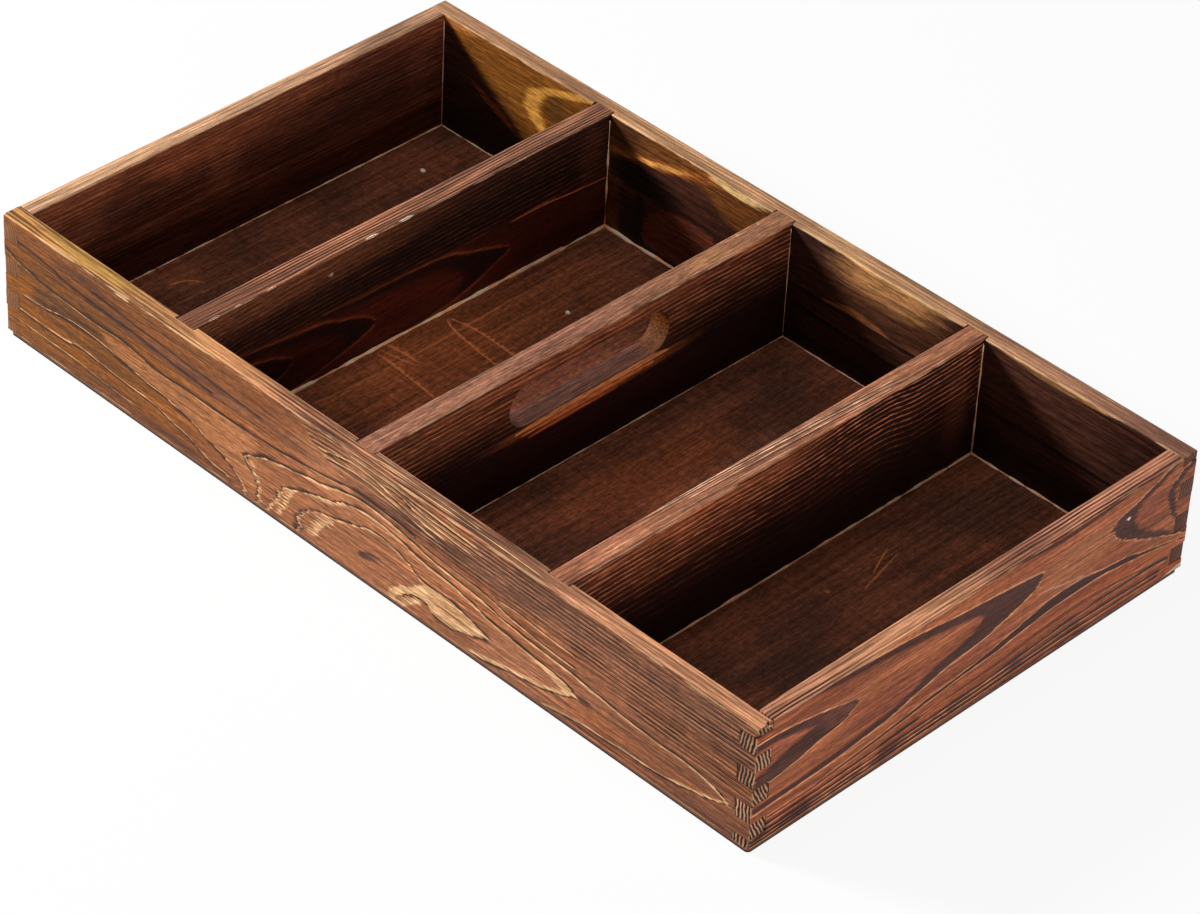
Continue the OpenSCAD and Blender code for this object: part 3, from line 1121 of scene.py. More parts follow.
front_lines = [
    line([(0, 44.5), (7, 41), (20, 38.5), (27, 36.8), (45, 36.5), (60, 36), (76, 36.6), (90, 35),
         (107, 33.2), (115, 33.8), (140, 33.9), (160, 34.6), (185, 36.6), (213, 40.5), (230, 42.6),
         (245, 42), (262, 39.5)], 1.4, -0.35),
    line([(6, 52), (20, 51.3), (32, 50), (40, 48.3), (55, 47), (90, 45.3), (110, 44), (138, 42.4)], 1.8),
    line([(58, 52.5), (70, 51.5), (90, 50), (130, 48.2), (168, 47)], 1.4),
    line([(12, 24.3), (25, 25), (36, 26.6), (45, 28), (57, 28), (75, 26.5), (90, 24), (97, 23.1),
         (106, 22.7), (112, 21.2), (120, 20.4), (125, 18.7), (131, 16.5), (143, 13.2), (149, 10)], 1.3,
         0.35),
    line([(0, 156.5), (4, 155.6), (7, 153), (10, 149.3)], 1.1, 0.8, steep=True),
    line([(7, 15.4), (40, 15.5), (50, 17), (60, 16.5), (80, 15.2), (100, 14), (112, 11), (120, 9.8),
         (130, 6.2), (137, 4.6), (144, 4), (148, 0)], 0.9, 0.5),
    line([(0, 9), (45, 8.5), (60, 7.5), (75, 6.6), (84, 6.4)], 0.6, 0.5, 0.7),
    line([(0, 164), (4, 165.5), (8, 166), (11.5, 165), (16, 161.5), (18.5, 158.5), (20.5, 156)], 1.3, 1,
         steep=True),
    line([(156, 20.5), (160, 23), (165, 25.5), (170, 27.3), (182, 30), (190, 31.3), (197, 33), (203, 34),
         (210, 35.7), (217, 37.8), (229, 39.6), (240, 39.4), (252, 38)], 1.4, -0.8),
    line([(250, 38), (262, 36.2), (266, 35), (283, 33.2), (295, 32.2), (307, 30.7), (318, 28.7), (345, 27),
         (365, 24.9), (385, 22.8), (400, 22), (412, 22.2), (422, 21.2), (428, 20), (433, 18.3), (438, 16)],
         0.9, -0.9),
    line([(335, 0), (343, 1.7), (355, 3.6), (370, 4.8), (400, 6.8), (415, 9), (425, 11), (438, 16)], 0.7,
         0.9),
    line([(0, 170.5), (4, 172), (8, 174), (10.5, 177), (14, 178), (17, 180), (20, 184)], 1.3, 1.1,
         steep=True),
    line([(183, 19.6), (190, 22), (197, 24.8), (203, 27), (210, 28.5), (215, 31), (220, 33), (226, 34.5),
         (234, 35.2), (240, 34.9), (250, 33.8), (258, 32.1), (265, 30.6), (280, 29.6), (287, 28.2),
         (297, 26.2), (303, 24.6), (312, 23.4), (330, 21.2), (340, 20.2), (348, 19), (354.5, 16.4)], 1.1,
         -1),
    line([(292, 1), (300, 1.6), (315, 4.6), (332, 8), (340, 10.2), (345, 12), (354.5, 15.8)], 0.9, 0.3),
    line([(0, 189), (3, 190), (8, 190.3), (11.5, 192), (14, 195), (16.5, 199)], 1.4, 1.2, steep=True),
    line([(198, 16.2), (204, 19), (210, 20.5), (222, 23.8), (228, 26), (233, 27.8), (240, 28.3),
         (247, 27.3), (252, 26.3), (258, 23.8), (268, 20), (275, 20.3), (282, 20.3), (288, 19), (298, 15.8),
         (305, 14)], 1.1, -0.7),
    line([(270, 9.5), (271.5, 7.5), (276, 6.6), (283, 6.6), (288, 8), (294, 10), (305, 13.8)], 0.9, 0.3),
    line([(250, 0.5), (252, 4.8), (255, 7.4), (258, 9), (262, 10.5), (266, 11), (270, 9.8)], 0.9, 0.3),
    line([(204, 52), (210, 53), (217, 54.5), (225, 55.2), (233, 54.6), (247, 52), (262, 49.6), (278, 48.4)],
         0.7, 0.8),
    line([(206, 49), (215, 50.3), (228, 51), (245, 49.3), (255, 48), (272, 45.3)], 0.7, 0.7),
    line([(222, 58), (240, 57.8), (262, 57), (285, 56), (296, 55.4)], 0.6, 0.8),
    line([(242, 55), (250, 55.2), (256, 53.8), (262, 52.3), (280, 51), (292, 50.4)], 0.7, 0.7),
    line([(256, 56.2), (263, 54.7), (270, 54), (304, 53.6)], 0.6, 0.5),
    line([(264, 38), (288, 36.8), (297, 36.3), (312, 33.8), (318, 32.6), (352, 30)], 0.7, -0.7),
    line([(308, 37), (318, 38), (333, 37), (356, 35.7)], 0.6, -0.7)]
front_tops = [
    haze((410, 4.5), (76, 9), (222, 156, 114), 0.75),
    haze((125, 4.5), (40, 9), (206, 146, 98), 0.6),
    spot((52, 5), (26, 3.5), (204, 158, 84), 0.5),
    spot((262, 6.4), (24, 2.2), (106, 70, 58), 0.6, ragged=2.2),
    spot((318, 5), (30, 4), (108, 70, 56), 0.6, ragged=2.2),
    line([(232, 4.2), (262, 5), (292, 4.2)], 0.4, 0.5),
    line([(322, 8.4), (380, 8.5), (440, 8.4)], 0, 0.6),
    line([(246, 2.4), (280, 3), (330, 2.2)], 0.4, 0.4),
    line([(200, 7.4), (232, 6.6), (250, 7.2)], 0.4, 0.4)]
dress(front_board, wood("front_board", 0, 1, front_figure, front_tones, front_patches, front_lines,
                        front_tops))

# %% [markdown]
# ## The right end
# Two bold dark arrows point to the right, and from the far corner two more point back at them. Each is
# an area with a hole, so that the dark wood is a band that swells at the tip. Below, the lines run
# nearly level.

# %% Right end wood
CHAR = (60, 35, 32)
right_figure = dict(
    front_figure, seed=7, axis=-12, spread=2.5, sway=0.3, fray=0.35, jag=12, dark_fade=0.4, dark_mm=1.0,
    dark_share=0.42, dark_soft=0.8, pale_mm=0.6, pale_share=0.25,
    bow=[(0, 1.2), (60, 0.6), (125, -0.4), (160, -1.4), (190, -2), (215, -1.5), (260, 0.6)],
    quiet=([(0, 70), (260, 70)], [(0, -5), (260, -6)]))
right_tones = tones_like(
    front_tones, outer=shades((174, 101, 66), (147, 80, 54), (46, 20, 17), (236, 168, 120)),
    streak=0.36, rings=0.2, ring_edge=0.2, hair=0.45, top=(212, 145, 110), top_2=(196, 132, 102),
    top_change=(60, 200), top_line=(52, 26, 20), top_line_amount=1.0, top_lines_per_mm=0.58,
    top_slant=0.003, end_dark=(44, 23, 17), end_plain=(74, 42, 34), end_strong=(200, 100), end_lean=0.03,
    worn=(230, 180, 138), worn_amount=0.45, worn_mm=0.6, fibre=1.0, grain=0.75)
right_patches = [
    spot((190, 43), (26, 9), (182, 116, 78), 0.6, soft=0.5),
    area([(0, 76), (30, 63), (45, 61), (60, 60), (75, 59), (90, 57.3), (105, 55), (130, 52), (150, 49.8),
         (160, 48.8), (164, 48.2), (166, 45.5)], [(0, 17.5), (40, 19), (60, 20.5), (80, 23), (90, 25.5),
         (100, 27.5), (110, 30), (125, 31.5), (135, 33), (143, 35), (150, 37), (157, 39.6), (161, 41),
         (164, 43), (166, 45.5)], CHAR, soft=0.8, rim=0.9, hole=([(0, 74), (30, 61), (55, 57.8), (70, 56.5),
         (90, 53.5), (110, 50.5), (120, 49), (126, 47.5), (131, 44)], [(0, 20), (40, 21.5), (70, 24.5),
         (80, 26), (90, 28.5), (97, 31.5), (105, 34), (113, 35.5), (120, 37), (126, 39.5), (131, 44)])),
    area([(0, 53), (10, 52.7), (20, 51.7), (30, 50.2), (40, 48.2), (50, 45.8), (55, 44.3), (59, 43)],
         [(0, 30.3), (10, 30.5), (20, 31.7), (30, 33.7), (40, 35.6), (50, 37.2), (53, 38.6), (59, 43)],
         CHAR, soft=0.8, rim=0.7, hole=([(0, 50), (8, 50), (20, 48), (27, 46.3), (33, 44)], [(0, 36),
         (8, 37.3), (18, 40.5), (27, 42.3), (33, 44)])),
    spot((47, 42.5), (10, 5), (112, 66, 50), 0.6),
    area([(208, 46), (210, 48.8), (215, 51), (222, 53), (230, 55.5), (237, 58), (245, 60.5), (260, 66)],
         [(208, 46), (210, 43), (213, 40), (217, 37), (222, 34.5), (228, 31.5), (235, 28), (243, 25),
         (260, 18)], CHAR, soft=0.8, rim=0.6, hole=([(223, 44.5), (224, 47), (226, 51), (232, 53.5),
         (240, 57), (248, 61), (260, 67)], [(223, 44.5), (224, 42), (225, 38.5), (230, 34.5), (236, 31),
         (243, 27.5), (250, 23), (260, 20)])),
    area([(243.5, 45), (244, 47), (246, 51), (250, 54), (260, 57.5)], [(243.5, 45), (244, 43), (246, 38),
         (248, 33), (250, 30), (260, 22)], CHAR, soft=0.8, rim=0.5, hole=([(248.5, 45), (249, 48),
         (251, 51), (260, 56)], [(248.5, 45), (249, 41), (249.5, 37), (251, 32), (260, 26)])),
    area([(146, 61.3), (160, 60.6), (170, 60), (185, 59.8), (200, 60), (224, 61.4)], [(146, 61),
         (160, 59.3), (170, 58), (185, 57.5), (200, 58), (210, 59), (224, 61)], CHAR, 0.85),
    area([(0, 12.2), (30, 12.3), (50, 13.8), (70, 15.4), (85, 17), (100, 18.7), (125, 21), (135, 22.5),
         (145, 24.5), (165, 28.5), (175, 30), (185, 30), (205, 27.5), (215, 26.5), (235, 21.5),
         (260, 15.5)], [(0, 11), (30, 11.2), (50, 12.6), (70, 14.2), (85, 15.5), (100, 17), (125, 19.5),
         (140, 20.5), (160, 23), (170, 24.3), (185, 25), (200, 25), (215, 23.5), (235, 20.3), (260, 14.8)],
         CHAR, 0.95, soft=0.7, rim=0.6),
    area([(90, 11.5), (125, 13.4), (140, 14.6), (155, 16), (170, 17.3), (190, 18), (205, 17), (220, 15),
         (250, 10)], [(90, 10.6), (125, 12), (140, 12), (155, 13.5), (170, 14.8), (190, 15.3), (205, 15),
         (220, 13.7), (250, 9.2)], (84, 50, 42), soft=0.8, rim=0.5),
    area([(0, 13), (125, 16), (190, 21), (260, 13)], [(0, -6), (260, -6.1)], (168, 82, 46), 0.4, soft=6),
    haze((152, 7), (56, 9), (104, 52, 36), 0.5),
    spot((258, 0.6), (11, 1.5), (238, 208, 170), 0.9, tilt=0.12),
    spot((185, 32.7), (21, 0.5), (206, 168, 140), 0.55, tilt=-0.24, ragged=0.6),
    spot((218.6, 47), (0.9, 0.8), (240, 226, 212), 0.9, ragged=0.3)]
right_lines = [
    line([(0, 7.4), (20, 7.8), (50, 8.6), (80, 9.8), (96, 10.9)], 1.2, -0.4, 1),
    line([(0, 4.6), (50, 5.4), (100, 6.6), (140, 7.6), (160, 8.8), (190, 10.4), (210, 10.9), (250, 8)], 1.4,
         -0.4, 1),
    line([(0, 2.6), (50, 3), (105, 4.3), (140, 4.9), (170, 5.7), (200, 6.3), (225, 6), (245, 5)], 1.4, -0.4,
         1),
    line([(0, 0.8), (60, 1.2), (100, 1.9), (150, 2.7), (185, 3.5), (225, 3.2), (245, 2)], 1.3, -0.4, 1),
    line([(110, 0.3), (150, 0.8), (185, 1.4), (232, 0.4)])]
right_tops = [
    haze((96, 4.5), (44, 9), (246, 176, 128), 0.4),
    spot((152, 4.5), (24, 9), (112, 70, 56), 0.5, soft=0.5, ragged=2),
    line([(14, 8.6), (120, 8.7), (250, 8.6)], 0, 0.5, 0.8)]
dress(right_end, wood("right_end", 1, -1, right_figure, right_tones, right_patches, right_lines,
                      right_tops))

# %% [markdown]
# ## The back board and the left end
# They show mostly their insides. The back board has flames of golden wood between the dividers, with
# painted light in the first and third bays where the left lamp falls, and is nearly black elsewhere, partly
# burnt and partly painted shade. The left end is evenly brown with fine lines.

# %% Back board and left end wood
AMBER = (140, 84, 28)
# A change of tone so far out that the end grain stays plain
NOWHERE = (900, 1000)
back_figure = dict(
    front_figure, seed=13, axis=-14, spread=4.2, sway=1.2, dark_fade=0.5, dark_mm=1.6, dark_share=0.35,
    bow=[(0, 0), (120, 0.8), (230, 1.3), (330, 0.7), (450, 1.2)], quiet=None)
back_tones = tones_like(
    front_tones, inner=shades((72, 38, 26), (50, 26, 18), (22, 11, 8), (110, 64, 40)),
    top=(200, 152, 110), top_2=(176, 126, 98), top_change=(260, 400), top_line=(120, 76, 54),
    top_line_amount=0.5, rings=0.3, ring_edge=0.1, end_plain=(78, 45, 36), end_strong=NOWHERE, fibre=0.6,
    foot=0.8, foot_mm=(38, 0))
back_patches = [
    # Partly golden wood, partly painted light: the amber stops along the edge of the shadow that the left
    # end casts on the first bay.
    area([(0, 70), (125, 70)], [(0, 60), (9, 57.5), (19, 52.5), (34, 41.5), (49, 31), (62, 21), (80, 8),
         (125, 2)], AMBER, 0.92, soft=6),
    area([(24, 83), (30, 79), (33, 76.5), (37, 74.5), (42, 73), (46, 74), (50, 77), (53, 83), (56, 93),
         (61, 108)], [(24, 76), (30, 72), (33, 67.5), (37, 64.5), (42, 63), (46, 64.5), (50, 68.5),
         (53, 73), (56, 82), (61, 98)], (232, 164, 72), 0.85, soft=5, steep=True),
    spot((84, 45), (9, 8), (96, 60, 24), 0.6),
    spot((43, 27), (14, 2.2), (150, 76, 44), 0.75, tilt=-0.45),
    spot((18, 59), (10, 2.6), (196, 124, 62), 0.7),
    area([(117, 70), (225, 70)], [(117, 52), (130, 46), (150, 48), (170, 52), (190, 42), (225, 36)],
         (124, 72, 30), soft=6),
    area([(118, 44.5), (130, 47), (142, 49.5), (155, 53), (170, 57), (185, 61), (205, 66)], [(118, 42.5),
         (130, 44), (142, 46), (155, 48.5), (170, 52.5), (185, 56.5), (205, 61)], (186, 104, 40), 0.85,
         soft=3),
    spot((122, 56), (16, 9), (52, 26, 12), 0.75, soft=0.5),
    spot((150, 49.6), (17, 1.5), (244, 172, 92), tilt=0.24),
    spot((196, 59.8), (15, 2.8), (250, 206, 140), 0.85),
    spot((138, 36), (27, 6.5), (14, 7, 5), 0.9),
    spot((138, 14), (3.6, 16), (14, 7, 5)),
    area([(141, 10), (143, 19), (150, 24.5), (158, 27.5), (168, 29.5), (184, 29)], [(141, 8), (143, 4),
         (150, 3), (158, 3), (168, 3), (184, 4)], (112, 56, 38), 0.85, soft=2.5),
    spot((122, 20), (8, 8), (66, 33, 24), 0.6),
    # Partly golden wood, partly painted light: these two patches lighten the upper part of the third bay
    # that the left lamp reaches, right of the middle divider's shadow.
    spot((294, 47), (38, 15), (98, 58, 37), 0.65, soft=0.5),
    haze((286, 55), (26, 8), (214, 150, 92), 0.75),
    area([(262, 70), (325, 70)], [(262, 61), (274, 59), (290, 58.2), (310, 59), (325, 61)], (232, 172, 112),
         0.8, soft=2.5),
    area([(250, 32), (258, 34), (266, 36), (275, 35.8), (285, 33.5), (290, 32)], [(250, 31.5), (258, 32),
         (266, 32.3), (275, 32), (285, 31.6), (290, 32)], (160, 98, 56), 0.85, soft=1.6),
    spot((303, 33.2), (7, 1.6), (130, 72, 42), 0.7),
    spot((378, 46), (46, 17), (76, 42, 30), 0.7, soft=0.5),
    area([(348, 70), (412, 70)], [(348, 61), (365, 59), (380, 58.4), (398, 59), (412, 61)], (222, 160, 104),
         0.75, soft=2)]
back_lines = [
    line([(236, 31), (280, 31.2), (334, 30)], 1.2),
    line([(236, 22), (280, 20.5), (334, 20)], 1.5),
    line([(236, 9), (280, 8), (334, 8.5)], 1.8),
    line([(340, 30), (390, 27), (440, 29)], 1.2),
    line([(340, 14), (390, 13), (440, 12)], 1.4)]
back_tops = [
    haze((26, 4.5), (60, 9), (156, 114, 84), 0.75),
    spot((100, 5), (18, 4), (120, 80, 58), 0.5, soft=0.5, ragged=2),
    spot((226, 5), (14, 4), (130, 88, 66), 0.5, soft=0.5, ragged=2),
    haze((440, 4.5), (26, 9), (116, 78, 66), 0.5)]
dress(back_board, wood("back_board", 0, -1, back_figure, back_tones, back_patches, back_lines, back_tops,
                       inside=True))

left_figure = dict(
    back_figure, seed=19, axis=-10, spread=2.2, sway=0.8, dark_mm=0.9, dark_share=0.5,
    bow=[(0, 0), (80, 0.5), (170, 0.2), (260, 0.7)])
left_tones = tones_like(
    right_tones, inner=shades((124, 64, 42), (92, 45, 31), (48, 23, 16), (160, 92, 60)),
    top=(206, 160, 122), top_2=(186, 140, 108), top_change=(100, 190), top_line=(150, 102, 76),
    top_line_amount=0.3, rings=0.45, foot=0.62, foot_mm=(44, 0), end_plain=(118, 74, 44),
    end_strong=NOWHERE)
left_patches = [
    haze((74, 54), (64, 12), (176, 94, 56), 0.5),
    haze((190, 34), (60, 14), (48, 22, 15), 0.5),
    spot((36, 46), (26, 17), (150, 84, 54), 0.45, soft=0.5),
    spot((118, 42), (9, 20), (150, 84, 52), 0.4, soft=0.5),
    spot((150, 54), (26, 7), (146, 80, 52), 0.35, soft=0.5),
    spot((64, 44), (16, 12), (62, 30, 21), 0.6, soft=0.5),
    spot((205, 40), (24, 16), (56, 28, 20), 0.5, soft=0.5),
    spot((236, 34), (7, 34), (110, 58, 40), 0.4, soft=0.5)]
dress(left_end, wood("left_end", 1, 1, left_figure, left_tones, left_patches, inside=True))

# %% [markdown]
# ## The dividers
# The left one shows dark arrows low on its face, the middle one fine level lines with golden streaks
# under the slot, on its near face only, and the right one a ribbed surface. Their tops are rubbed
# lighter. The left one's chips show fresh pale wood, and the others have a few scratches.

# %% Divider wood
SOOT = (22, 9, 7)
divider_tones = tones_like(
    front_tones, streak=0.25, rings=0.8, ring_edge=0.35, foot=0.7, foot_mm=(36, 0), hair=0.3,
    top=(170, 110, 79), top_2=(162, 107, 79), top_change=(40, 200), top_line=(50, 28, 21),
    top_line_amount=1.0, top_lines_per_mm=0.58, top_slant=0.002, worn=(232, 188, 152), worn_mm=0.7)
left_divider_figure = dict(
    back_figure, seed=31, axis=-10, spread=2.5, sway=1.6, fray=0.7, jag=4, dark_mm=1.0, dark_share=0.5,
    bow=[(0, 3.4), (40, 1.6), (80, 0.6), (160, 0.5), (247, 0)],
    quiet=([(0, 31), (247, 30)], [(0, -5), (247, -6)]))
left_divider_tones = tones_like(
    divider_tones, foot=0.35, worn_amount=0.5, worn_mm=0.45, rings=0.5, ring_edge=0.14,
    inner=shades((100, 38, 23), (80, 29, 18), (26, 12, 9), (190, 100, 58)))
left_divider_patches = [
    area([(0, 70), (247, 70)], [(0, 33), (60, 32.5), (122, 32), (150, 31.5), (200, 31), (247, 29.5)],
         (64, 30, 19), 0.85, soft=5),
    spot((130, 41), (120, 9), SOOT, soft=0.5),
    haze((60, 57), (84, 8), (150, 86, 52), 0.55),
    spot((205, 46), (104, 21), (14, 5, 3), 0.85, soft=0.7),
    spot((234, 35), (7, 30), (86, 44, 30), 0.4, soft=0.5),
    area([(72, 32.2), (88, 31.8), (122, 30.8), (146, 29), (158, 25), (168, 22.2), (185, 16.4)], [(72, -3),
         (122, 1), (142, 3), (158, 6), (172, 11.2), (185, 16.4)], SOOT, soft=3, rim=1.5, glow=0.32,
         hole=([(72, 30.8), (88, 30), (122, 28.4), (140, 26), (150, 22), (156, 18), (160, 14.5)], [(72, -4),
         (122, -1), (140, 1), (150, 4.5), (156, 10), (160, 14.5)])),
    area([(0, 34), (32, 32.4), (52, 30), (72, 28), (82, 25), (94, 21), (104, 14.6)], [(0, -2), (56, 2),
         (68, 4), (82, 7.4), (96, 11), (104, 14.6)], SOOT, soft=3, rim=1.5, glow=0.32, hole=([(0, 31),
         (32, 29.8), (52, 27), (68, 24), (78, 20.5), (85, 17), (89, 14)], [(0, -4), (56, 0), (68, 2.4),
         (78, 6), (85, 10), (89, 14)])),
    area([(0, 27), (30, 25.5), (40, 24), (48, 21.5), (56, 17.5)], [(0, 6), (30, 7.5), (42, 10.5),
         (50, 13.5), (56, 17.5)], SOOT, 0.85, soft=3, rim=1.4, glow=0.3, hole=([(0, 24), (30, 22.5),
         (38, 20.5), (45, 17.5)], [(0, 9), (30, 11), (38, 13.5), (45, 17.5)])),
    spot((77.4, 52), (1.3, 0.9), (226, 196, 168), 0.9, ragged=0.4)]
left_divider_lines = [
    line([(184, 29.4), (202, 29.5), (222, 28), (244, 26.4)], 1.2, 1)]
left_divider_tops = [
    haze((10, 5), (34, 9), (96, 60, 46), 0.7),
    spot((12, 0.3), (2.6, 0.5), (255, 214, 178), 0.75, ragged=2.2),
    spot((25, 0.3), (1.8, 0.4), (255, 214, 178), 0.7, ragged=2.2),
    spot((44, 0.3), (2.2, 0.5), (255, 214, 178), ragged=2.2),
    spot((101, 0.4), (3, 0.6), (255, 230, 204), 0.9, ragged=2.2),
    spot((121, 0.5), (3.6, 0.8), (255, 230, 204), 0.95, ragged=2.2)]
dress(left_divider, wood("left_divider", 1, -1, left_divider_figure, left_divider_tones,
                         left_divider_patches, left_divider_lines, left_divider_tops))

centre_divider_figure = dict(
    left_divider_figure, seed=37, spread=6.4, power=1.3, sway=0.9, dark_mm=0.95,
    bow=[(0, 0.4), (60, 0), (125, 0.5), (190, 0.1), (247, 0.6)], quiet=None)
centre_divider_tones = tones_like(
    divider_tones, top=(152, 102, 79), top_2=(177, 120, 88), top_change=(130, 215), top_line_amount=0.25,
    foot=0.97, foot_mm=(54, 22), soot=(38, 12, 11), worn_amount=0.6, worn_mm=0.6, ring_edge=0.8,
    top_fibre=0.6, top_grain=1.1, inner=shades((122, 62, 40), (92, 45, 30), (34, 16, 11), (184, 110, 70)))
centre_divider_patches = [
    # Painted light and shade: the lighter patches high on the face are painted light, the dark patches
    # lower down painted shade.
    spot((48, 48), (52, 12), (150, 84, 54), 0.4, soft=0.5),
    spot((208, 52), (36, 9), (120, 60, 38), 0.2, soft=0.5),
    spot((224, 60), (14, 2.2), (206, 124, 76), 0.7),
    spot((112, 57), (66, 4.5), (196, 108, 72), 0.45, soft=0.5),
    spot((46, 31), (46, 11), (30, 11, 9), soft=0.5),
    spot((216, 34), (50, 14), SOOT, 0.75, soft=0.5)]
slot_streaks = [
    spot((125, 28), (48, 3.4), (190, 106, 60), 0.7, soft=0.5),
    area([(80, 29.2), (100, 30.8), (125, 31.6), (150, 31.4), (170, 30)], [(80, 28.2), (100, 28.2),
         (125, 28.4), (150, 28.6), (170, 29.2)], (255, 156, 92), 1, soft=1.2),
    area([(84, 26.6), (105, 27.6), (130, 28.2), (162, 27.8)], [(84, 25.8), (105, 25.8), (130, 26),
         (162, 26.8)], (255, 138, 78), 1, soft=1),
    area([(88, 23.8), (110, 25), (140, 25)], [(88, 23.4), (110, 23.6), (140, 24.4)], (226, 108, 60),
         soft=1)]
centre_divider_tops = [
    spot((198, 5), (12, 4), (194, 138, 88), 0.5),
    spot((220, 9.8), (0.6, 1.2), (226, 184, 150), 0.6, tilt=1.5),
    spot((233, 9.8), (0.6, 1), (226, 184, 150), 0.6, tilt=1.5)]
dress(centre_divider, wood("centre_divider", 1, -1, centre_divider_figure, centre_divider_tones,
                           centre_divider_patches, tops=centre_divider_tops, near_patches=slot_streaks,
                           slot_tones=((98, 62, 50), (108, 60, 26))))

right_divider_figure = dict(
    centre_divider_figure, seed=43, axis=-1, spread=10.4, power=1.59, sway=0.6,
    bow=[(0, 0.6), (70, 0.2), (130, 0.6), (180, -0.4), (208, 0.7), (247, -0.6)])
right_divider_tones = tones_like(
    centre_divider_tones, top=(176, 114, 84), top_2=(200, 132, 96), top_change=(120, 220),
    top_line=(78, 44, 31), top_line_amount=0.6, top_lines_per_mm=0.5, top_slant=0.006, rings=0.95,
    foot=0.96, foot_mm=(62, 18), soot=(34, 14, 12), ring_edge=0.85, top_fibre=1.0, top_grain=0.9,
    inner=shades((82, 34, 23), (60, 24, 17), (34, 16, 11), (226, 136, 92)))
right_divider_patches = [
    # Painted light and shade: the lighter hazes high at the front are painted light, the dark patches at
    # the back and along the foot painted shade.
    haze((80, 59), (68, 9), (230, 126, 78), 0.5),
    haze((190, 53), (64, 16), (34, 14, 10), 0.82),
    haze((60, 44), (40, 8), (140, 74, 46), 0.4),
    spot((231, 30), (7, 34), (112, 58, 40), 0.4, soft=0.5),
    spot((175, 40), (34, 16), (50, 24, 17), 0.5, soft=0.5),
    spot((125, 6), (160, 12), (34, 16, 11), 0.6, soft=0.5)]
right_divider_tops = [
    line([(50, 9.6), (110, 8), (196, 3.4)], 0.5, 0.6, 1),
    line([(62, 10.4), (130, 8.6), (194, 5.4)], 0.5, 0.6, 1),
    line([(74, 6.6), (120, 5.2), (190, 2)], 0.5, 0.55, 1),
    line([(20, 4), (70, 3.4), (130, 1.6)], 0, 0.35)]
dress(right_divider, wood("right_divider", 1, -1, right_divider_figure, right_divider_tones,
                          right_divider_patches, tops=right_divider_tops))

# %% [markdown]
# ## The plywood bottom, the glue and the brads
# The bottom is thin plywood, stained dark, with streaks across the tray, paler layers at its edge and marks
# of use on its upper face: rubbed patches, a few thin loops and scratches. One lighter patch beside the
# middle divider is painted light. The scuffs' places are millimetres from the middle of the tray. Small
# steel brads hold the bottom from below.

# %% Bottom, glue and brads
MIDDLE_LAYER_MM = 1.5
floor_patches = [
    spot((-86, 4), (26, 66), (172, 92, 50), 0.6, soft=0.7, ragged=2.4),
    spot((38, 2), (16, 46), (160, 84, 50), 0.55, soft=0.7, ragged=2),
    # Painted light: a lighter patch on the floor of the second bay beside the middle divider.
    haze((-26, 6), (26, 62), (186, 110, 82), 0.75),
    haze((-165, 10), (34, 70), (112, 66, 46), 0.3),
    haze((-197, -51), (8, 8), (140, 86, 60), 0.4),
    spot((138.3, 7), (1.1, 1), (176, 104, 60), ragged=0.5)]
floor_scuffs = [
    line([(-102, 17.6), (-98, 20.6), (-86, 22.2), (-64, 21.4)], 0, 1.4),
    line([(-102, 17.4), (-94, 14.6), (-80, 12.6), (-64, 11)], 0, 1.4),
    line([(-106, -15), (-98, -13.6), (-88, -13)], 0, 1.7),
    line([(-105, -19), (-98, -18), (-88, -15.6)], 0, 1.4, 0.75),
    line([(-104, -22), (-90, -22.8), (-64, -25.4)], 0, 1.4),
    line([(-66, -97), (-30, -94.5), (12, -94), (50, -95.6)], 0, 1.3, 0.3, steep=True),
    line([(-56, -203), (-50, -201.4), (-46, -198.4), (-44, -195)], 0, 1.4, 0.75, steep=True),
    line([(-60, -190), (-40, -189), (10, -187.4)], 0, 1, 0.25, steep=True),
    line([(30, 142.6), (36, 139.6), (46, 135.6)], 0, 0.8, 0.75, steep=True),
    line([(20, 147), (32, 144), (48, 140.4)], 0, 0.8, 0.6, steep=True)]


def plywood(name):
    s = Sums(bpy.data.materials.new(name))
    x, y, z = (part * (1 / MM) for part in s.place())
    facing_up = s.place("Normal")[2]

    def noise(per_mm_x, per_mm_y, detail=3.0, roughness=0.65):
        return s.noise(s.vector(x * per_mm_x, y * per_mm_y, z), detail=detail, roughness=roughness)

    streak = noise(0.4, 0.01, detail=4.0).step(*NOISE_SPAN)
    weave = noise(0.04, 0.6, roughness=0.5).step(*NOISE_SPAN)
    fine = noise(0.9, 0.25).step(*NOISE_SPAN)
    cloud = noise(0.03, 0.018, 4.0, 0.6).step(0.38, 0.62)
    speck = noise(0.6, 0.5, roughness=0.5).step(0.64, 0.74)
    ragged = noise(0.5, 0.12, detail=4.0)
    thick = ragged.step(0.36, 0.62).scaled(0.8, 0.7)
    brush = Brush(x, y, ragged, thick, linear(224, 130, 76), linear(40, 22, 16))
    upper_face = facing_up.step(0.2, 0.7)
    colour = s.mix(cloud, linear(82, 48, 35), linear(118, 66, 44))
    colour, _ = paint(s, colour, brush, floor_patches, upper_face)
    for light in (streak.scaled(0.9, 0.52), weave.scaled(0.36, 0.82), fine.scaled(0.9, 0.55)):
        colour = s.shade(colour, light)
    colour, _ = paint(s, colour, brush, floor_scuffs, upper_face)
    colour = s.mix(speck * 0.4, colour, linear(170, 104, 68))
    layer = abs(z - MIDDLE_LAYER_MM).step(0.75, 0.6)
    edge = abs(facing_up).step(0.6, 0.4)
    colour = s.mix(edge, colour, s.mix(layer, linear(52, 30, 24), linear(120, 82, 62)))
    return s.finish(colour, streak.scaled(0.15, 0.48), streak + weave, 0.1 * MM)


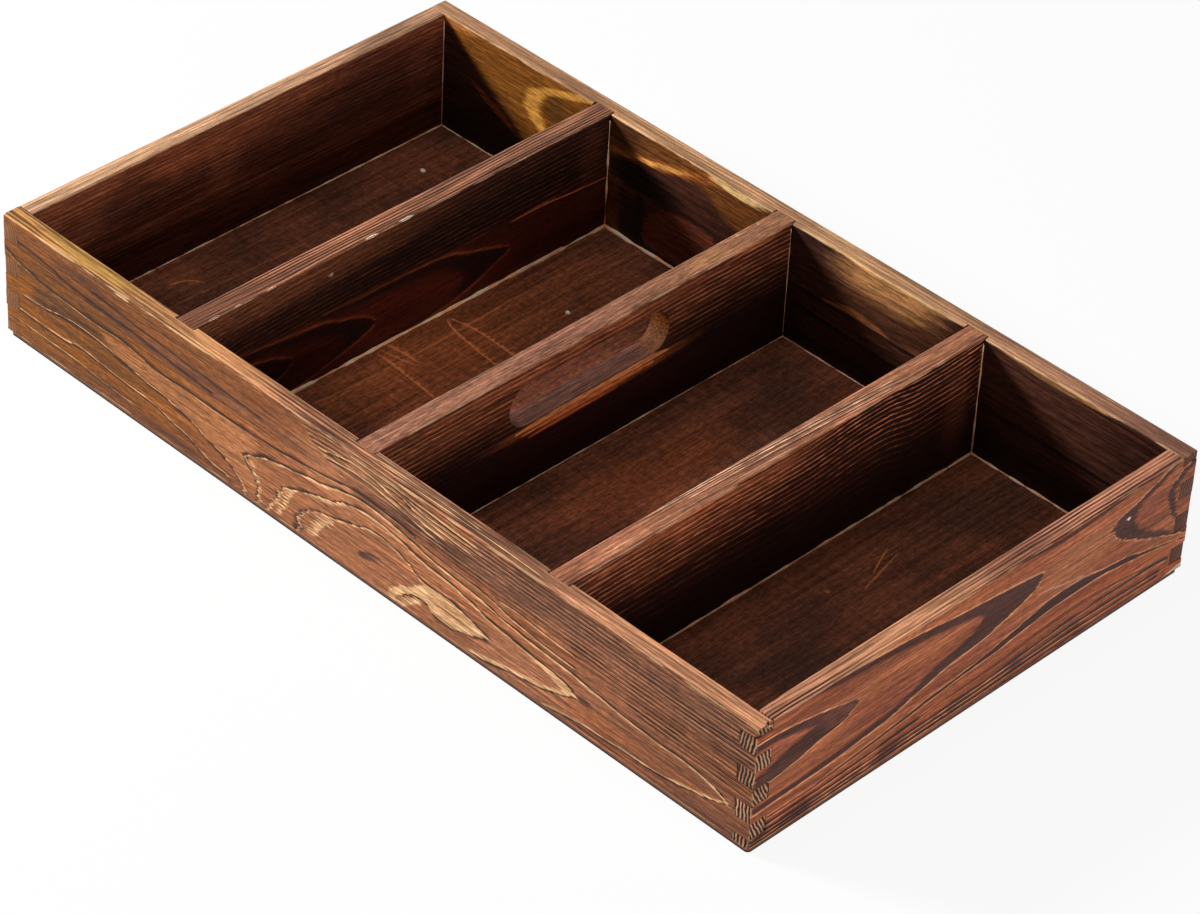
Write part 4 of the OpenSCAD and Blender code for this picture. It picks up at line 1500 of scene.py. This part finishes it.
def wire_steel(name):
    s = Sums(bpy.data.materials.new(name))
    scratch = s.noise(s.vector(*s.place()), scale=3000.0)
    colour = s.mix(scratch, linear(150, 148, 144), linear(110, 106, 102))
    return s.finish(colour, scratch.scaled(0.2, 0.3), scratch, 0.02 * MM, specular=0.5, metallic=1.0)


def dried_glue(name, tone, pale):
    s = Sums(bpy.data.materials.new(name))
    place = s.vector(*s.place())
    patch = s.noise(place, scale=160.0, detail=3.0).step(0.38, 0.6)
    fine = s.noise(place, scale=900.0)
    return s.finish(s.mix(patch, linear(*tone), linear(*pale)), fine.scaled(0.2, 0.4), fine, 0.08 * MM)


cream_glue = dried_glue("dried_glue", (255, 188, 142), (255, 220, 184))
for piece in glue_pieces:
    dress(piece, cream_glue)
dress(specks, dried_glue("white_glue", (255, 232, 208), (255, 242, 226)))
dress(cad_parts["bottom_panel"], plywood("stained_plywood"))
dress(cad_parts["panel_brads"], wire_steel("brad_wire"))
print("bottom, glue and brads dressed")

# %% [markdown]
# ## Floor and light
# A plain white floor runs past the picture. It lies a hair below the tray, so that the two faces don't
# fight. A soft lamp on the left, a low one on the right and one overhead light the faces, and the walls
# of the bays shade each other.

# %% Stage
FLOOR_GAP = 0.05 * MM
FLOOR_SIZE = 12
FLOOR_GLOW = 0.9
LAMP_DISTANCE = 2.2


def seen_rays(s):
    """1 for rays that show the surroundings as they are: to the camera, in a gloss, through a pane."""
    path = s.node("ShaderNodeLightPath")
    names = ("Is Camera Ray", "Is Glossy Ray", "Is Transmission Ray")
    to_camera, in_gloss, through_pane = (Field(s, path.outputs[name]) for name in names)
    return to_camera.high(in_gloss).high(through_pane)


def add_floor():
    deselect_all()
    bpy.ops.mesh.primitive_plane_add(size=FLOOR_SIZE, location=(0, 0, -FLOOR_GAP))
    floor = bpy.context.object
    floor.name = "floor"
    s = Sums(bpy.data.materials.new("floor_white"))
    matt = s.filled(s.node("ShaderNodeBsdfDiffuse"), (0.9, 0.9, 0.9, 1))
    glow = s.filled(s.node("ShaderNodeEmission"), (1, 1, 1, 1))
    dress(floor, s.finish_mixed("ShaderNodeOutputMaterial", seen_rays(s) * FLOOR_GLOW, matt, glow))
    floor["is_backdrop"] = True


def add_lamp(name, azimuth, elevation, size, watts):
    """Square soft lamp that looks at the tray. Azimuth 0 stands in front, 90 to the right."""
    _, _, back = view_axes(math.radians(azimuth), math.radians(elevation), 0)
    lamp = bpy.data.objects.new(name, bpy.data.lights.new(name, "AREA"))
    bpy.context.scene.collection.objects.link(lamp)
    lamp.data.size = size
    lamp.data.energy = watts
    turn = back.to_track_quat("Z", "Y").to_matrix().to_4x4()
    lamp.matrix_world = Matrix.Translation(back * LAMP_DISTANCE) @ turn


def add_world(strength):
    """Dim light from all round. The camera and a gloss see it white."""
    world = bpy.data.worlds.new("studio")
    bpy.context.scene.world = world
    s = Sums(world)
    dim = s.filled(s.node("ShaderNodeBackground"), Strength=strength)
    white = s.filled(s.node("ShaderNodeBackground"), Strength=1.0)
    s.finish_mixed("ShaderNodeOutputWorld", seen_rays(s), dim, white)


add_floor()
add_lamp("left_softbox", -60, 29, 0.45, 58)
add_lamp("right_softbox", 88, 17, 0.9, 19)
add_lamp("overhead", 0, 80, 1.2, 14)
add_world(0.04)
bpy.context.scene.view_settings.view_transform = "Standard"
print("stage ready")

# %% [markdown]
# ## Size
# The box of the dressed tray is printed, as the box of the solids is at the start. The
# dressed tray has to stay inside the box of the solids.

# %% Size and finish
visual_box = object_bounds()
print("visual box in mm:", [in_mm(corner, 2) for corner in visual_box])
